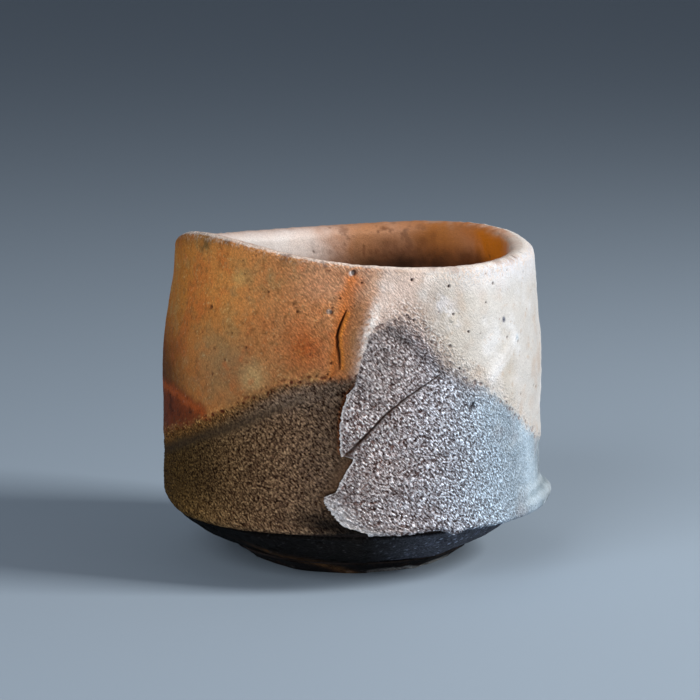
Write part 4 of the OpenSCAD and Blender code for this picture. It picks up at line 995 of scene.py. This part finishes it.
# ---------------------------------------------------------------- materials
def material(name, tint=None, bump=0.1, spec=0.5, rough=0.6, grit=None):
    """Procedural ceramic. Colour, roughness and grit come from the mesh where no tint is given."""
    m = bpy.data.materials.new(name)
    m.use_nodes = True
    nt = m.node_tree
    nt.nodes.clear()

    def node(kind, **sockets):
        n = nt.nodes.new(kind)
        for k, v in sockets.items():
            n.inputs[k.replace("_", " ")].default_value = v
        return n

    def link(a, b):
        nt.links.new(a, b)

    def attr(which):
        n = nt.nodes.new("ShaderNodeAttribute")
        n.attribute_name = which
        return n

    def blend(kind, fac, a, b):
        n = nt.nodes.new("ShaderNodeMix")
        n.data_type = "RGBA"
        n.blend_type = kind
        for sock, v in ((n.inputs[0], fac), (n.inputs[6], a), (n.inputs[7], b)):
            if isinstance(v, (int, float, tuple)):
                sock.default_value = v
            else:
                link(v, sock)
        return n.outputs[2]

    out = node("ShaderNodeOutputMaterial")
    bs = node("ShaderNodeBsdfPrincipled", Coat_Weight=0.0)
    link(bs.outputs["BSDF"], out.inputs["Surface"])
    co = node("ShaderNodeTexCoord")
    # grains: noise stretched down to the right
    mp = node("ShaderNodeMapping", Rotation=(0.0, math.radians(48), 0.0), Scale=(2.5, 1.0, 1.0))
    mp.vector_type = "TEXTURE"
    link(co.outputs["Object"], mp.inputs["Vector"])
    n1 = node("ShaderNodeTexNoise", Scale=4500.0, Detail=1.5, Roughness=0.55, Distortion=0.3)
    link(mp.outputs["Vector"], n1.inputs["Vector"])
    g = node("ShaderNodeMapRange", From_Min=0.40, From_Max=0.57, To_Min=0.0, To_Max=1.0)
    link(n1.outputs["Fac"], g.inputs["Value"])
    # packed grains in the same direction, with dark gaps between them
    wv = node("ShaderNodeTexNoise", Scale=1500.0, Detail=1.0)
    link(mp.outputs["Vector"], wv.inputs["Vector"])
    wo = nt.nodes.new("ShaderNodeVectorMath")
    wo.operation = "MULTIPLY_ADD"
    link(wv.outputs["Color"], wo.inputs[0])
    wo.inputs[1].default_value = (0.0005, 0.0005, 0.0005)
    link(mp.outputs["Vector"], wo.inputs[2])
    vo = node("ShaderNodeTexVoronoi", Scale=3200.0, Randomness=1.0)
    link(wo.outputs["Vector"], vo.inputs["Vector"])
    gv = node("ShaderNodeMapRange", From_Min=0.62, From_Max=0.34, To_Min=0.0, To_Max=1.0)
    link(vo.outputs["Distance"], gv.inputs["Value"])
    gm = nt.nodes.new("ShaderNodeMix")
    gm.data_type = "FLOAT"
    gm.inputs[0].default_value = 0.6
    link(g.outputs["Result"], gm.inputs[2])
    link(gv.outputs["Result"], gm.inputs[3])
    grains = gm.outputs[0]
    # fine specks
    n2 = node("ShaderNodeTexNoise", Scale=6500.0, Detail=1.0, Roughness=0.5)
    link(co.outputs["Object"], n2.inputs["Vector"])
    fine = node("ShaderNodeMapRange", From_Min=0.3, From_Max=0.7, To_Min=0.84, To_Max=1.16)
    link(n2.outputs["Fac"], fine.inputs["Value"])
    if tint is None:
        colour = attr("tint").outputs["Color"]
        amount = attr("grit").outputs["Fac"]
        dry = attr("dry").outputs["Fac"]
        link(dry, bs.inputs["Roughness"])
        sp = node("ShaderNodeMapRange", From_Min=0.4, From_Max=0.8, To_Min=spec, To_Max=spec * 0.2)
        link(dry, sp.inputs["Value"])
        link(sp.outputs["Result"], bs.inputs["Specular IOR Level"])
    else:
        n3 = node("ShaderNodeTexNoise", Scale=420.0, Detail=4.0)
        link(co.outputs["Object"], n3.inputs["Vector"])
        cr = node("ShaderNodeValToRGB")
        cr.color_ramp.elements[0].position = 0.35
        cr.color_ramp.elements[1].position = 0.68
        cr.color_ramp.elements[0].color = (*[float(v) * 0.6 for v in tint], 1)
        cr.color_ramp.elements[1].color = (*[float(v) for v in tint], 1)
        link(n3.outputs["Fac"], cr.inputs["Fac"])
        colour = cr.outputs["Color"]
        amount = grit
        bs.inputs["Roughness"].default_value = rough
        bs.inputs["Specular IOR Level"].default_value = spec
    shade = blend("MIX", grains, (0.10, 0.05, 0.04, 1.0), (1.70, 1.69, 1.74, 1.0))
    shade = blend("MIX", amount, (1.0, 1.0, 1.0, 1.0), shade)
    colour = blend("MULTIPLY", 1.0, colour, shade)
    colour = blend("MULTIPLY", 1.0, colour, fine.outputs["Result"])
    link(colour, bs.inputs["Base Color"])
    hm = nt.nodes.new("ShaderNodeMath")
    hm.operation = "MULTIPLY"
    link(grains, hm.inputs[0])
    if tint is None:
        link(amount, hm.inputs[1])
    else:
        hm.inputs[1].default_value = amount
    ha = nt.nodes.new("ShaderNodeMath")
    ha.operation = "MULTIPLY_ADD"
    link(n2.outputs["Fac"], ha.inputs[0])
    ha.inputs[1].default_value = 0.2
    link(hm.outputs[0], ha.inputs[2])
    bp = node("ShaderNodeBump", Strength=bump, Distance=0.0006)
    link(ha.outputs[0], bp.inputs["Height"])
    link(bp.outputs["Normal"], bs.inputs["Normal"])
    return m


mat_grey = material("rough_grey_slip", bump=0.8, spec=0.4)
mat_flame = material("flame_glaze", bump=0.8, spec=0.4)
mat_line = material("lining_glaze", bump=0.5, spec=0.15)
mat_base = material("base_clay", bump=0.8, spec=0.15)
mat_foot = material("foot_clay", bump=0.8, spec=0.2)
mat_clay = material("body_clay", tint=lin(128, 92, 66), bump=0.6, rough=0.85, spec=0.2, grit=0.4)
mat_slip = material("joint_slip", tint=lin(52, 42, 38), bump=0.6, rough=0.85, spec=0.2, grit=0.4)

for ob, mat, slot, node in (
        (grey_coat, mat_grey, "grey_slip", "grey_slip_coat"), (flame_coat, mat_flame, "flame_glaze", "flame_glaze_coat"),
        (lining, mat_line, "lining_glaze", "glaze_lining"), (clay, mat_clay, "body_clay", "wall_strip"),
        (base, mat_base, "base_clay", "base_disc"), (foot, mat_foot, "foot_clay", "foot_ring")):
    ob.data.materials.append(mat)
    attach(ob, "root")
    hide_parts(node)
for node, mat, slot in (("corner_coil", mat_clay, "body_clay"), ("lap_slip", mat_slip, "joint_slip"), ("base_slip", mat_slip, "joint_slip"), ("foot_slip", mat_slip, "joint_slip")):
    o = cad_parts[node]
    o.data.materials.clear()
    o.data.materials.append(mat)

# ---------------------------------------------------------------- floor, light, camera
bpy.ops.mesh.primitive_plane_add(size=6.0, location=(0, 1.5, 0))
floor = bpy.context.object
floor.name = "floor"
fm = bpy.data.materials.new("floor_pale")
fm.use_nodes = True
fb = fm.node_tree.nodes["Principled BSDF"]
fb.inputs["Base Color"].default_value = (0.36, 0.44, 0.53, 1)
fb.inputs["Roughness"].default_value = 0.7
fb.inputs["Specular IOR Level"].default_value = 0.2
floor.data.materials.append(fm)


def area(name, pos, target, size, power, colour):
    d = bpy.data.lights.new(name, "AREA")
    d.shape = "RECTANGLE"
    d.size, d.size_y = size
    d.energy = power
    d.color = colour
    o = bpy.data.objects.new(name, d)
    bpy.context.scene.collection.objects.link(o)
    o.location = Vector(pos)
    o.rotation_euler = (Vector(target) - Vector(pos)).to_track_quat("-Z", "Y").to_euler()
    return o


area("key", (0.52, -0.14, 0.34), (0, 0, 0.03), (0.2, 0.2), 4.2, (1.0, 0.985, 0.96))
area("fill", (-0.45, -0.75, 0.45), (0, 0, 0.03), (0.6, 0.6), 4.6, (0.95, 0.975, 1.0))
world = bpy.data.worlds.new("studio")
world.use_nodes = True
world.node_tree.nodes["Background"].inputs["Color"].default_value = (0.80, 0.88, 1.0, 1)
world.node_tree.nodes["Background"].inputs["Strength"].default_value = 0.14
bpy.context.scene.world = world

cam = bpy.data.cameras.new("cam")
cam.sensor_width = 36.0
cam.lens = 36.0 * FOCAL / 700
cam.clip_start = 0.01
cam_o = bpy.data.objects.new("cam", cam)
bpy.context.scene.collection.objects.link(cam_o)
cam_o.location = Vector(CAM * MM)
cam_o.rotation_euler = (math.pi / 2 - PITCH, 0, 0)
bpy.context.scene.camera = cam_o
bpy.context.scene.view_settings.view_transform = "Standard"

bpy.context.view_layer.update()
